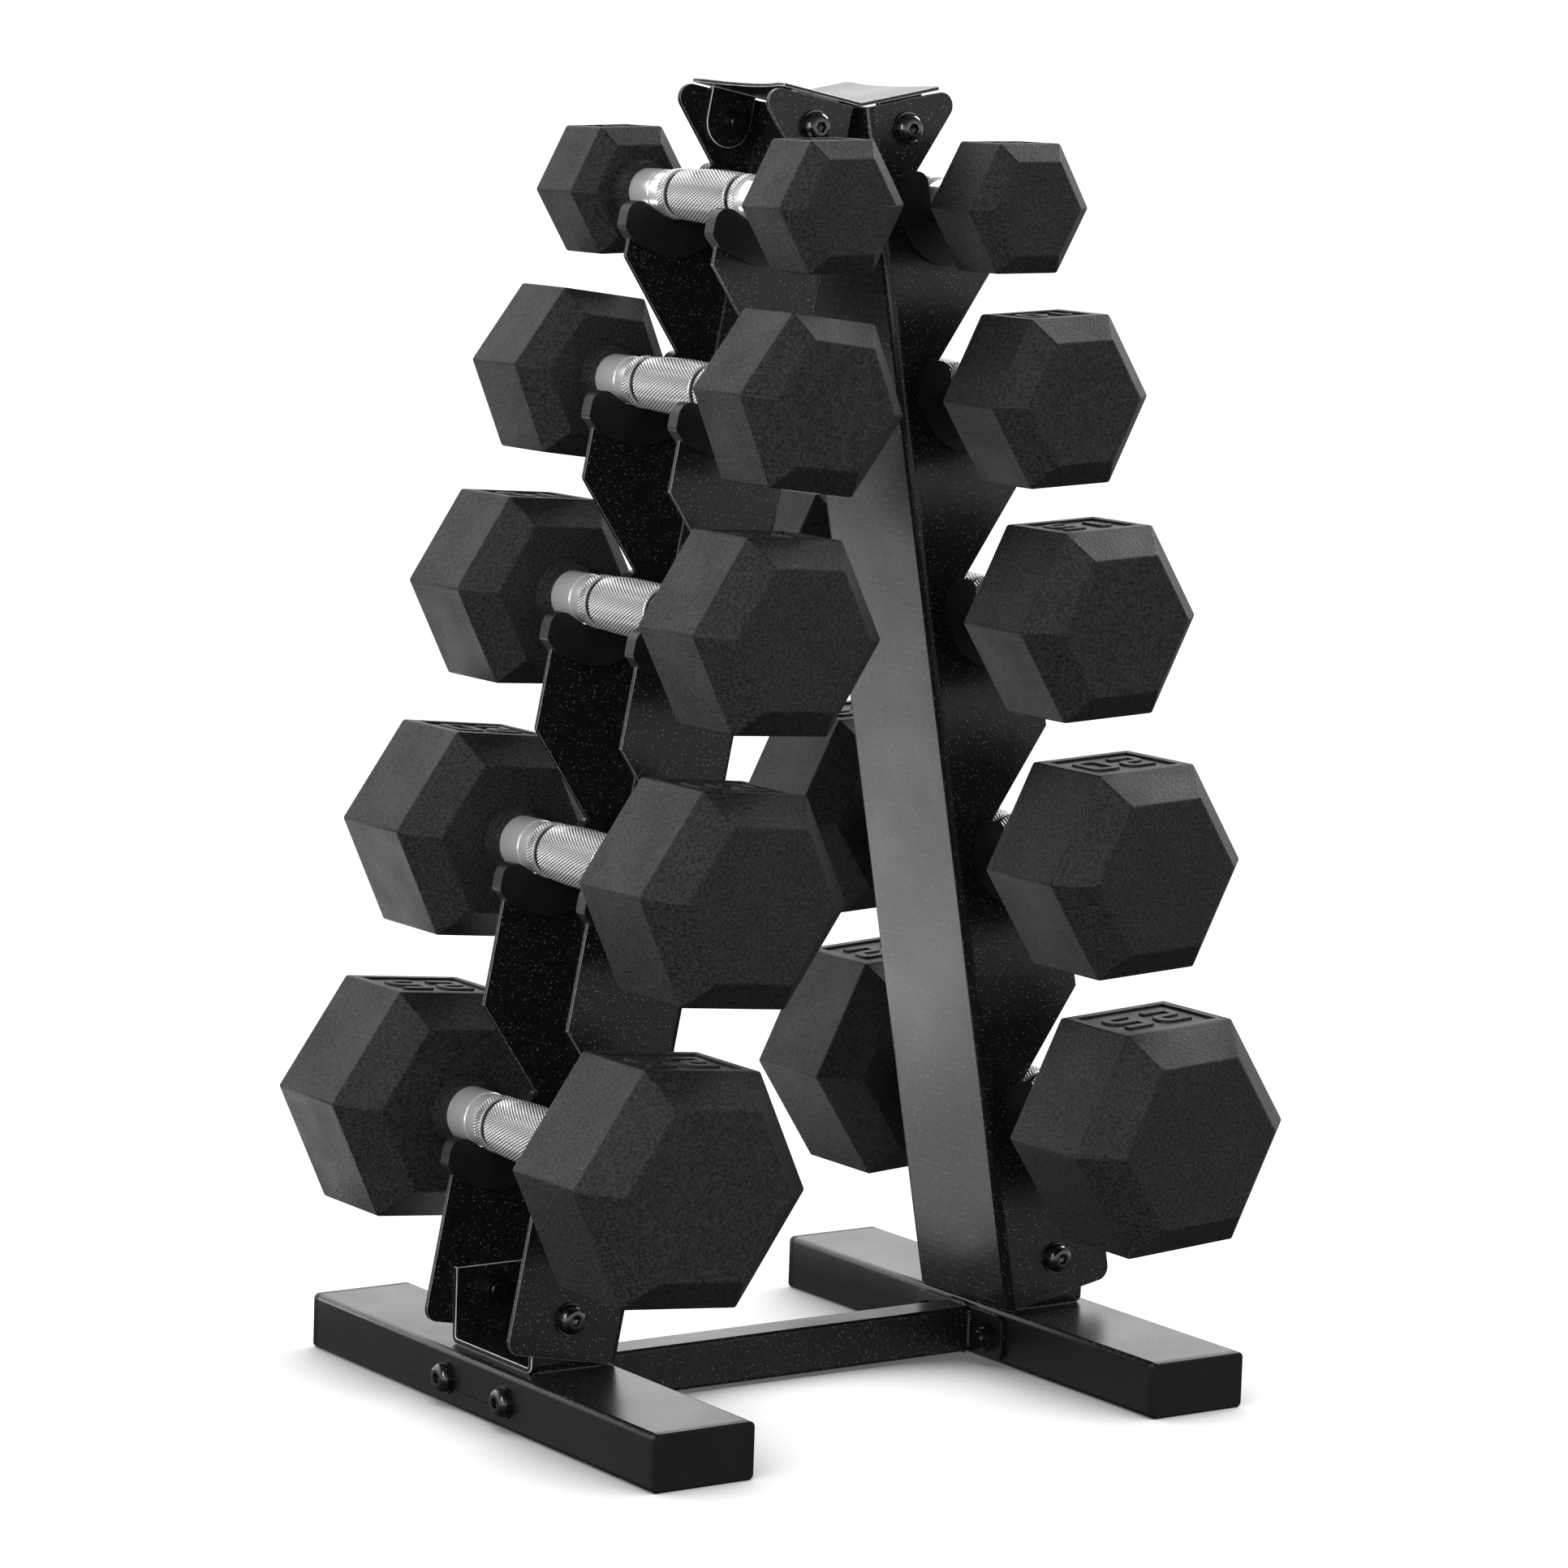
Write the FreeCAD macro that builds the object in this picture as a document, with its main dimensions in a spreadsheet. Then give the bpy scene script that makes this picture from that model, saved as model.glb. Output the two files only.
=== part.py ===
import FreeCAD, Part
import math
import os

import Sketcher

# A-frame dumbbell rack with five pairs of rubber hex dumbbells.
# X runs from foot to foot, Y along the feet and the dumbbell handles, Z up.
# The origin is on the floor, midway between the feet.

FRAME_SIZES = [
    ("lean_angle", 10.8, "lean of each upright from vertical, degrees"),
    ("upright_x", 124.5, "outer face of an upright's web at its lower end"),
    ("upright_z", 30.0, "height of an upright's lower end"),
    ("upright_length", 647.0, "length along the lean"),
    ("sheet_gauge", 2.5, "sheet of the uprights"),
    ("bend_radius", 4.0, "outer radius of the sheet's bends"),
    ("channel_width", 82.4, "over both flanges of an upright"),
    ("flange_depth", 67.5, "web's outer face to the flange's edge"),
    ("cradle_u", 44.0, "centre of a cradle cut, out from the web"),
    ("cradle_radius", 18.5, "round bottom of a cradle cut"),
    ("notch_rise", 17.0, "cradle centre up to the foot of the tooth above"),
    ("lip_drop", 14.5, "cradle centre down to the top of the lip"),
    ("corner_radius", 7.0, "rounded outer corners of a flange"),
    ("cut_beyond", 6.0, "how far a cut runs past the metal's edge"),
    ("seat_u", 46.0, "centre of a saddle's seat, out from the web"),
    ("seat_radius", 15.5, "seat that a handle lies in"),
    ("lip_slope", 20.0, "inner side of a saddle's lip, degrees"),
    ("saddle_radius", 33.5, "outer edge of a saddle"),
    ("saddle_shift", 1.0, "outer edge's centre, back and down from the seat's"),
    ("saddle_width", 8.0, "saddle over the sheet, along the handle"),
    ("saddle_post", 18.0, "top of a saddle's post above its seat's centre"),
    ("saddle_reach", 27.0, "outer side of a saddle's lip from its seat's centre"),
    ("lip_rise_run", 12.5, "length of the lip's sloped inner side, along U"),
    ("lip_inner", 8.0, "inner side of a lip's thick part from the seat's centre"),
    ("lip_bend", 20.0, "lowest corner of a lip from the seat's centre, along U"),
    ("lip_bend_rise", 2.5, "that corner above the saddle's lowest point"),
    ("lip_side_rise", 8.5, "foot of a lip's outer side above the lowest point"),
    ("lip_cap", 6.0, "top of a lip's thick part below the seat's centre"),
    ("post_round", 7.0, "rounded top of a saddle's post"),
    ("lip_round", 7.5, "rounded top of a saddle's lip"),
    ("lip_foot_round", 3.2, "rounded foot of a lip's outer side"),
    ("top_bolt_u", 23.0, "upper bolt, out from the web"),
    ("top_bolt_v", 632.4, "upper bolt, up along the lean"),
    ("base_bolt_x", 154.0, "lower bolt from the middle of the rack"),
    ("base_bolt_z", 57.0, "lower bolt above the floor"),
    ("bolt_diameter", 8.0, "all bolts"),
    ("bolt_hole", 8.6, "clearance hole for a bolt"),
    ("plate_gap", 1.2, "top plate above the flange ends"),
    ("plate_gauge", 2.0, "sheet of the top plate"),
    ("plate_wing", 49.0, "valley of the top plate to its outer edge"),
    ("plate_scoop", 6.0, "depth of the curve in the plate's outer edge"),
    ("plate_corner", 6.0, "straight part at each end of that edge"),
    ("ear_gauge", 3.0, "ears of the top and foot brackets"),
    ("ear_gap", 0.3, "ear to the inside of a flange"),
    ("ear_radius", 13.5, "rounded end of a top ear"),
    ("bracket_inner", 127.9, "foot bracket's inner edge from the middle"),
    ("bracket_length", 46.5, "foot bracket along X"),
    ("bracket_height", 40.0, "foot bracket above the foot"),
    ("crease_radius", 1.5, "inside radius of the foot bracket's bends"),
    ("foot_outer", 183.6, "outer face of a foot from the middle"),
    ("foot_width", 59.5, "foot tube along X"),
    ("foot_height", 29.5, "foot tube along Z"),
    ("foot_length", 331.0, "foot tube with its caps"),
    ("foot_wall", 2.0, "wall of the foot tube"),
    ("foot_corner", 3.0, "outer corner radius of the foot tube"),
    ("cap_flange", 4.0, "visible thickness of an end cap"),
    ("cap_plug", 14.0, "part of an end cap inside the tube"),
    ("cap_rim", 1.2, "rounded rim of an end cap"),
    ("cap_play", 0.1, "end cap's plug to the inside of the tube"),
    ("cap_wall", 3.0, "wall of an end cap's plug"),
    ("tube_width", 20.0, "cross tube along Y"),
    ("tube_height", 25.0, "cross tube along Z"),
    ("tube_z", 2.0, "underside of the cross tube above the floor"),
    ("tube_wall", 1.6, "wall of the cross tube"),
    ("tube_corner", 2.0, "outer corner radius of the cross tube"),
    ("end_plate_gauge", 3.0, "plate welded to each end of the cross tube"),
    ("end_plate_length", 77.0, "end plate along Y"),
    ("end_plate_corner", 6.0, "rounded corners of an end plate"),
    ("tube_bolt_pitch", 57.0, "between the two bolts of an end plate"),
    ("head_radius", 7.6, "button head of a bolt"),
    ("head_height", 4.8, "button head of a bolt"),
    ("bolt_chamfer", 0.8, "chamfer at the end of a bolt"),
    ("bolt_tail", 1.5, "bolt's end beyond its nut"),
    ("socket_width", 5.0, "hex socket across its flats"),
    ("socket_share", 0.6, "depth of the socket against the head's height"),
    ("washer_radius", 8.6, "washer"),
    ("washer_gauge", 1.5, "washer"),
    ("nut_width", 13.0, "lock nut across its flats"),
    ("nut_height", 8.0, "lock nut"),
    ("nut_hex_share", 0.72, "hexagonal part against the nut's height"),
    ("nut_step", 0.9, "lock nut's collar inside its flats"),
]

# Side of a button head: shares of its radius and height, from the rim up.
BUTTON = [(1.0, 0.0), (1.0, 0.21), (0.93, 0.5), (0.79, 0.78), (0.55, 1.0), (0.0, 1.0)]

TIERS = ["five", "ten", "fifteen", "twenty", "twentyfive"]
WEIGHTS = [5, 10, 15, 20, 25]

# One column for each weight, from the lightest at the top of the rack.
TIER_SIZES = [
    ("seat_v", [592.5, 494.4, 379.6, 249.2, 105.7], "seat, up along the lean"),
    ("flats", [65.0, 85.4, 96.8, 106.2, 118.0], "head across its flats"),
    ("prism", [33.0, 41.5, 48.0, 54.5, 55.5], "straight part of a head"),
    ("slope", [8.2, 12.4, 15.2, 17.2, 18.0], "length of a head's sloped end"),
    ("coat", [4.4, 5.6, 5.8, 6.5, 7.1], "rubber over the iron core"),
    ("neck", [12.0, 12.5, 13.2, 14.0, 14.5], "radius of the plain neck"),
    ("waist", [11.5, 12.0, 12.7, 13.5, 14.0], "radius of the waist over the saddle"),
    ("grip", [13.9, 14.5, 15.0, 15.5, 15.8], "radius of the grip at its middle"),
]

DUMBBELL_SIZES = [
    ("face_ratio", 0.72, "end face of a head against its full width"),
    ("head_round", 2.0, "rounded edges of a head"),
    ("inner_face", 70.0, "middle of the handle to the inner face of a head"),
    ("collar_length", 8.0, "rubber collar round the neck"),
    ("collar_wall", 3.0, "rubber collar's thickness at its free end"),
    ("collar_taper", 8.0, "slope of the collar's side, degrees"),
    ("waist_outer", 44.6, "middle of the handle to the end of the neck"),
    ("waist_inner", 35.4, "middle of the handle to the ring"),
    ("neck_step", 0.8, "slope from the neck down to the waist, along the handle"),
    ("ring_width", 6.0, "narrow knurled ring"),
    ("groove_width", 4.0, "groove between ring and grip"),
    ("groove_depth", 1.6, "groove between ring and grip"),
    ("ring_bevel", 0.5, "bevelled edges of the ring and the grip"),
    ("ring_drop", 0.9, "ring's radius below the grip's middle"),
    ("barrel_drop", 0.27, "grip's radius halfway out below its middle"),
    ("stub_depth", 32.0, "handle inside the iron core"),
    ("stub_radius", 10.5, "handle inside the iron core"),
    ("stub_chamfer", 1.0, "chamfer at the handle's end"),
    ("panel_margin", 5.5, "rim round the recessed panel on a head"),
    ("panel_depth", 1.3, "recessed panel on a head"),
    ("rest_gap", 0.3, "handle's rings above its saddle"),
]

# The dumbbells lie a little unevenly, as they were put down: each one's turn
# about its own handle in degrees, and how far it is pushed to the rear in mm.
ROLLS = {"left": [2.0, -7.0, -3.0, -5.0, -5.0], "right": [1.0, 3.0, 3.0, 3.0, 3.5]}
SHIFTS = {"left": [1.0, -1.5, 0.0, 3.0, 3.5], "right": [5.0, 1.0, -1.0, -1.0, -3.0]}

# Size that a sketch's geometry starts at, before its formulas take hold.
SEED = 9.0
# A cut has to take away at least this much, in cubic millimetres.
LEAST_CUT = 1.0

SIDES = {"left": -1, "right": 1}
ROWS = {"front": -1, "rear": 1}

doc = FreeCAD.newDocument("dumbbell_rack")
sheet = doc.addObject("Spreadsheet::Sheet", "dims")


def fill_sheet():
    """Write every driving dimension into the sheet as a named cell."""
    rows = list(FRAME_SIZES) + list(DUMBBELL_SIZES)
    for name, values, note in TIER_SIZES:
        for tier, value in zip(TIERS, values):
            rows.append((f"{name}_{tier}", value, note))
    for number, (alias, value, note) in enumerate(rows, start=1):
        sheet.set(f"A{number}", alias)
        sheet.set(f"B{number}", str(value))
        sheet.setAlias(f"B{number}", alias)
        sheet.set(f"C{number}", note)
    doc.recompute()


def size(alias):
    """The value of a cell, for the pieces that are placed by hand."""
    return float(getattr(sheet, alias))


def bind(thing, **formulas):
    """Bind properties of an object to sheet formulas."""
    for name, formula in formulas.items():
        thing.setExpression(name, formula)
    return thing


# --- placing ---------------------------------------------------------------

def upright_frame(side):
    """Placement that takes (u, y, v) of an upright to the rack's axes."""
    lean = FreeCAD.Rotation(FreeCAD.Vector(0, 1, 0), -size("lean_angle"))
    turn = FreeCAD.Rotation(FreeCAD.Vector(0, 0, 1), 0 if side == "right" else 180)
    base = FreeCAD.Vector(SIDES[side] * size("upright_x"), 0, size("upright_z"))
    return FreeCAD.Placement(base, turn.multiply(lean))


def at(x, y, z, rotation=None):
    return FreeCAD.Placement(FreeCAD.Vector(x, y, z), rotation or FreeCAD.Rotation())


def facing(direction):
    """Rotation that turns +Z to the given direction."""
    return FreeCAD.Rotation(FreeCAD.Vector(0, 0, 1), FreeCAD.Vector(*direction))


# --- sketching -------------------------------------------------------------

def origin_plane(body, role):
    for feature in body.Origin.OriginFeatures:
        if feature.Role == role:
            return feature
    raise ValueError(role)


def new_sketch(body, name, role, offset=None):
    """Sketch on one of the body's own planes; offset is along its normal."""
    sketch = body.newObject("Sketcher::SketchObject", name)
    sketch.AttachmentSupport = [(origin_plane(body, role), "")]
    sketch.MapMode = "FlatFace"
    if offset:
        sketch.setExpression(".AttachmentOffset.Base.z", offset)
    return sketch


def pin(sketch, geometry, point, x, y):
    """Hold a point at two sheet formulas measured from the sketch's origin."""
    for axis, kind, formula in ((-2, "DistanceX", x), (-1, "DistanceY", y)):
        if formula == "0":
            sketch.addConstraint(Sketcher.Constraint("PointOnObject", geometry, point, axis))
            continue
        index = sketch.addConstraint(Sketcher.Constraint(kind, -1, 1, geometry, point, 1.0))
        sketch.setExpression(f"Constraints[{index}]", formula)


def outline(sketch, points):
    """Closed outline of straight lines through pairs of sheet formulas."""
    count = len(points)
    turn = 2 * math.pi / count
    seeds = [FreeCAD.Vector(SEED * math.cos(turn * i), SEED * math.sin(turn * i), 0)
             for i in range(count)]
    lines = [Part.LineSegment(seeds[i], seeds[(i + 1) % count]) for i in range(count)]
    first = sketch.GeometryCount
    sketch.addGeometry(lines, False)
    for i in range(count):
        following = first + (i + 1) % count
        sketch.addConstraint(Sketcher.Constraint("Coincident", first + i, 2, following, 1))
    for i, (x, y) in enumerate(points):
        pin(sketch, first + i, 1, x, y)


def circle(sketch, x, y, radius):
    """Full circle held by sheet formulas."""
    shape = Part.Circle(FreeCAD.Vector(1, 1, 0), FreeCAD.Vector(0, 0, 1), SEED)
    index = sketch.addGeometry(shape, False)
    pin(sketch, index, 3, x, y)
    limit = sketch.addConstraint(Sketcher.Constraint("Radius", index, SEED))
    sketch.setExpression(f"Constraints[{limit}]", radius)


def rectangle(sketch, x0, x1, y0, y1):
    outline(sketch, [(x0, y0), (x1, y0), (x1, y1), (x0, y1)])


def hexagon(sketch, flats):
    """Hexagon about the origin with two flats level."""
    half = f"({flats}) / 2"
    corner = f"({flats}) / sqrt(3)"
    short = f"({flats}) / sqrt(3) / 2"
    outline(sketch, [
        (corner, "0"), (short, half), (f"-({short})", half),
        (f"-({corner})", "0"), (f"-({short})", f"-({half})"), (short, f"-({half})"),
    ])


# --- features --------------------------------------------------------------

def pad(body, sketch, length, both_ways=False, backwards=False):
    feature = body.newObject("PartDesign::Pad", f"{sketch.Name}_pad")
    feature.Profile = sketch
    feature.Midplane = both_ways
    feature.Reversed = backwards
    feature.setExpression("Length", length)
    return feature


def cut_through(body, sketch):
    """Pocket right through the body, both ways from the sketch."""
    doc.recompute()
    before = body.Shape.Volume
    feature = body.newObject("PartDesign::Pocket", f"{sketch.Name}_pocket")
    feature.Profile = sketch
    feature.Midplane = True
    feature.Type = "ThroughAll"
    doc.recompute()
    if body.Shape.Volume > before - LEAST_CUT:
        raise RuntimeError(f"{feature.Name} cut nothing")
    return feature


def cut_down(body, sketch, depth, backwards=False):
    """Pocket of a given depth from the sketch."""
    doc.recompute()
    before = body.Shape.Volume
    feature = body.newObject("PartDesign::Pocket", f"{sketch.Name}_pocket")
    feature.Profile = sketch
    feature.Reversed = backwards
    feature.setExpression("Length", depth)
    doc.recompute()
    if body.Shape.Volume > before - LEAST_CUT:
        raise RuntimeError(f"{feature.Name} cut nothing")
    return feature


def round_edges(body, name, radius, wanted):
    """Fillet the edges of the body's tip that the test picks out."""
    doc.recompute()
    base = body.Tip
    names = [f"Edge{i}" for i, edge in enumerate(base.Shape.Edges, start=1) if wanted(edge)]
    if not names:
        raise RuntimeError(f"{name} found no edges")
    feature = body.newObject("PartDesign::Fillet", name)
    feature.Base = (base, names)
    feature.setExpression("Radius", radius)
    return feature


def runs_along(edge, axis, near=None, tolerance=0.05):
    """True for a straight edge along one axis, optionally through a point."""
    if not isinstance(edge.Curve, Part.Line):
        return False
    others = [i for i in range(3) if i != axis]
    ends = [vertex.Point for vertex in edge.Vertexes]
    if any(abs(ends[0][i] - ends[1][i]) > 1e-4 for i in others):
        return False
    if near is None:
        return True
    return all(abs(ends[0][i] - near[i]) < tolerance for i in others)


def new_body(label):
    body = doc.addObject("PartDesign::Body", label)
    body.Label = label
    return body


def copies(label, sources, placement=None):
    """A sub-part made of one or more finished shapes."""
    group = doc.addObject("Part::Compound", label)
    group.Label = label
    group.Links = sources
    if placement:
        group.Placement = placement
    return group


def link(source, placement):
    """One placed copy of a master piece."""
    thing = doc.addObject("App::Link", f"{source.Name}_copy")
    thing.LinkedObject = source
    thing.Placement = placement
    return thing


def boolean(kind, label, base, tool):
    result = doc.addObject(f"Part::{kind}", label)
    result.Label = label
    result.Base = base
    result.Tool = tool
    return result


# --- uprights --------------------------------------------------------------

def tooth_cuts(sketch):
    """Open spaces above the five cradles, in (u, v) of the upright."""
    far = "dims.flange_depth + dims.cut_beyond"
    above = "dims.upright_length + dims.cut_beyond"
    edge = "dims.flange_depth"
    back = "dims.cradle_u - dims.cradle_radius"
    for tier in TIERS:
        seat = f"dims.seat_v_{tier}"
        notch = f"{seat} + dims.notch_rise"
        tooth = f"{notch} + dims.flange_depth - ({back})"
        start = edge
        if tier == "five":
            # the top tooth is cut short by the end of the upright
            start = f"{back} + {above} - ({notch})"
            tooth = above
        lip = f"{seat} - dims.lip_drop"
        outline(sketch, [
            (far, tooth), (start, tooth), (back, notch), (back, seat),
            ("dims.cradle_u", seat), ("dims.cradle_u", lip), (far, lip),
        ])


def build_upright(side):
    """Sheet channel, web inwards, with five cradles cut in both flanges."""
    body = new_body(f"{side}_upright")
    half = "dims.channel_width / 2"
    inner = f"{half} - dims.sheet_gauge"
    section = new_sketch(body, f"{side}_section", "XY_Plane")
    outline(section, [
        ("0", f"-({half})"), ("dims.flange_depth", f"-({half})"),
        ("dims.flange_depth", f"-({inner})"), ("dims.sheet_gauge", f"-({inner})"),
        ("dims.sheet_gauge", inner), ("dims.flange_depth", inner),
        ("dims.flange_depth", half), ("0", half),
    ])
    pad(body, section, "dims.upright_length")
    width = size("channel_width") / 2
    gauge = size("sheet_gauge")
    outside = [(0, -width, 0), (0, width, 0)]
    inside = [(gauge, gauge - width, 0), (gauge, width - gauge, 0)]
    round_edges(body, f"{side}_outer_bends", "dims.bend_radius",
                lambda e: any(runs_along(e, 2, point) for point in outside))
    round_edges(body, f"{side}_inner_bends", "dims.bend_radius - dims.sheet_gauge",
                lambda e: any(runs_along(e, 2, point) for point in inside))
    teeth = new_sketch(body, f"{side}_teeth", "XZ_Plane")
    tooth_cuts(teeth)
    cut_through(body, teeth)
    cradles = new_sketch(body, f"{side}_cradles", "XZ_Plane")
    for tier in TIERS:
        circle(cradles, "dims.cradle_u", f"dims.seat_v_{tier}", "dims.cradle_radius")
    cut_through(body, cradles)
    depth = size("flange_depth")
    back = size("cradle_u") - size("cradle_radius")
    top = size("upright_length")
    top_corner = back + top - size("seat_v_five") - size("notch_rise")
    corners = [(depth, 0, 0), (top_corner, 0, top)]
    round_edges(body, f"{side}_corners", "dims.corner_radius",
                lambda e: any(runs_along(e, 1, point, 1.5) for point in corners))
    holes = new_sketch(body, f"{side}_bolt_holes", "XZ_Plane")
    circle(holes, "dims.top_bolt_u", "dims.top_bolt_v", "dims.bolt_hole / 2")
    run = "(dims.base_bolt_x - dims.upright_x)"
    rise = "(dims.base_bolt_z - dims.upright_z)"
    circle(holes,
           f"{run} * cos(dims.lean_angle) + {rise} * sin(dims.lean_angle)",
           f"{rise} * cos(dims.lean_angle) - {run} * sin(dims.lean_angle)",
           "dims.bolt_hole / 2")
    cut_through(body, holes)
    body.Placement = upright_frame(side)
    return body


# --- saddles ---------------------------------------------------------------

def lip_points():
    """Formulas for a lip's inner side: its foot on the seat, and its top.

    Both are measured from the seat's centre. The side slopes less steeply
    than a dumbbell is lifted, so the handle leaves it at once.
    """
    foot_u = "dims.seat_radius * sin(dims.lip_slope)"
    foot_v = "-dims.seat_radius * cos(dims.lip_slope)"
    top_u = f"{foot_u} + dims.lip_rise_run"
    top_v = f"{foot_v} + dims.lip_rise_run * tan(dims.lip_slope)"
    return foot_u, foot_v, top_u, top_v


def saddle_lips(sketch):
    """Thick lip of each saddle, outside its round part."""
    inner = "dims.seat_u + dims.lip_inner"
    side = "dims.seat_u + dims.saddle_reach"
    for tier in TIERS:
        low = f"dims.seat_v_{tier} - dims.saddle_radius"
        high = f"dims.seat_v_{tier} - dims.lip_cap"
        outline(sketch, [
            (inner, low), ("dims.seat_u + dims.lip_bend", f"{low} + dims.lip_bend_rise"),
            (side, f"{low} + dims.lip_side_rise"), (side, high), (inner, high),
        ])


def saddle_mouths(sketch):
    """Space above each seat, and the trim outside the lip."""
    foot_u, foot_v, top_u, top_v = lip_points()
    reach = "(dims.saddle_radius + dims.cut_beyond)"
    inside = f"dims.seat_u - {reach}"
    outside = f"dims.seat_u + {reach}"
    wall = "dims.seat_u - dims.seat_radius"
    side = "dims.seat_u + dims.saddle_reach"
    for tier in TIERS:
        seat = f"dims.seat_v_{tier}"
        post = f"{seat} + dims.saddle_post"
        outline(sketch, [
            (inside, f"{seat} + {reach}"), (inside, post), (wall, post), (wall, seat),
            (f"dims.seat_u + {foot_u}", f"{seat} + {foot_v}"),
            (f"dims.seat_u + {top_u}", f"{seat} + {top_v}"),
            (side, f"{seat} + {top_v}"), (side, f"{seat} - {reach}"),
            (outside, f"{seat} - {reach}"), (outside, f"{seat} + {reach}"),
        ])


def saddle_tips():
    """Corners of the posts, the lips and the lips' feet that run along Y, in (u, y, v)."""
    seat_u = size("seat_u")
    slope = math.radians(size("lip_slope"))
    foot_v = -size("seat_radius") * math.cos(slope)
    top_u = size("seat_radius") * math.sin(slope) + size("lip_rise_run")
    top_v = foot_v + size("lip_rise_run") * math.tan(slope)
    side = seat_u + size("saddle_reach")
    shift = size("saddle_shift")
    radius = size("saddle_radius")
    post_v = size("saddle_post")
    back = seat_u - shift - math.sqrt(radius ** 2 - (post_v + shift) ** 2)
    posts, lips, feet = [], [], []
    for tier in TIERS:
        seat = size(f"seat_v_{tier}")
        posts += [(seat_u - size("seat_radius"), 0, seat + post_v), (back, 0, seat + post_v)]
        lips += [(seat_u + top_u, 0, seat + top_v), (side, 0, seat + top_v)]
        feet += [(side, 0, seat - radius + size("lip_side_rise"))]
    return {"post_round": posts, "lip_round": lips, "lip_foot_round": feet}


def build_saddle_blanks():
    """Five solid saddles for one flange, before the sheet is let into them."""
    body = new_body("saddle_blanks")
    discs = new_sketch(body, "saddle_discs", "XZ_Plane")
    for tier in TIERS:
        circle(discs, "dims.seat_u - dims.saddle_shift",
               f"dims.seat_v_{tier} - dims.saddle_shift", "dims.saddle_radius")
    pad(body, discs, "dims.saddle_width", both_ways=True)
    lips = new_sketch(body, "saddle_lips", "XZ_Plane")
    saddle_lips(lips)
    pad(body, lips, "dims.saddle_width", both_ways=True)
    mouths = new_sketch(body, "saddle_mouths", "XZ_Plane")
    saddle_mouths(mouths)
    cut_through(body, mouths)
    seats = new_sketch(body, "saddle_seats", "XZ_Plane")
    for tier in TIERS:
        circle(seats, "dims.seat_u", f"dims.seat_v_{tier}", "dims.seat_radius")
    cut_through(body, seats)
    for radius, tips in saddle_tips().items():
        round_edges(body, f"{radius}s", f"dims.{radius}",
                    lambda e: any(runs_along(e, 1, point) for point in tips))
    return body


def build_saddles(side, row, blanks, upright):
    """Saddles of one flange: blanks with the flange's own sheet let in."""
    label = f"{side}_{row}_saddles"
    middle = size("channel_width") / 2 - size("sheet_gauge") / 2
    # the left frame is turned half round, so its rear flange is at local -Y
    local_y = ROWS[row] * SIDES[side] * middle
    placed = link(blanks, upright_frame(side).multiply(at(0, local_y, 0)))
    return boolean("Cut", label, placed, upright)


# --- top bracket -----------------------------------------------------------

def build_top_plate():
    """Shallow V of sheet that lies over both uprights."""
    body = new_body("top_plate")
    slope = "sin(dims.lean_angle)"
    level = "cos(dims.lean_angle)"
    # underside of the valley, where the lines over the flange ends meet
    valley = (f"(dims.upright_z + (dims.upright_length + dims.plate_gap) / {level}"
              f" - dims.upright_x * tan(dims.lean_angle))")
    wing_x = f"dims.plate_wing * {level}"
    wing_z = f"{valley} + dims.plate_wing * {slope}"
    over_x = f"{wing_x} - dims.plate_gauge * {slope}"
    over_z = f"{wing_z} + dims.plate_gauge * {level}"
    section = new_sketch(body, "plate_section", "XZ_Plane")
    outline(section, [
        ("0", valley), (wing_x, wing_z), (over_x, over_z),
        ("0", f"{valley} + dims.plate_gauge / {level}"),
        (f"-({over_x})", over_z), (f"-({wing_x})", wing_z),
    ])
    pad(body, section, "dims.channel_width", both_ways=True)
    scoops = new_sketch(body, "plate_scoops", "XY_Plane")
    reach = "dims.channel_width / 2 - dims.plate_corner"
    radius = f"(({reach}) ^ 2 + dims.plate_scoop ^ 2) / (2 * dims.plate_scoop)"
    centre = f"{wing_x} - dims.plate_scoop + {radius}"
    circle(scoops, centre, "0", radius)
    circle(scoops, f"-({centre})", "0", radius)
    cut_through(body, scoops)
    return body


def ear_pieces(side):
    """Two hanging ears inside the flanges of one upright."""
    pieces = []
    gauge = size("ear_gauge")
    outside = size("channel_width") / 2 - size("sheet_gauge") - size("ear_gap")
    radius = size("ear_radius")
    frame = upright_frame(side)
    corner = size("top_bolt_u") - radius
    bolt = (size("top_bolt_u"), size("top_bolt_v"))
    for row, sign in ROWS.items():
        low_y = outside - gauge if sign > 0 else -outside
        tab = doc.addObject("Part::Box", f"{side}_{row}_ear_tab")
        bind(tab, Length="2 * dims.ear_radius", Width="dims.ear_gauge",
             Height="dims.upright_length + dims.plate_gap - dims.top_bolt_v")
        tab.Placement = frame.multiply(at(corner, low_y, bolt[1]))
        end = doc.addObject("Part::Cylinder", f"{side}_{row}_ear_end")
        bind(end, Radius="dims.ear_radius", Height="dims.ear_gauge")
        end.Placement = frame.multiply(at(bolt[0], low_y, bolt[1], facing((0, 1, 0))))
        pieces += [tab, end]
    return pieces


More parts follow.
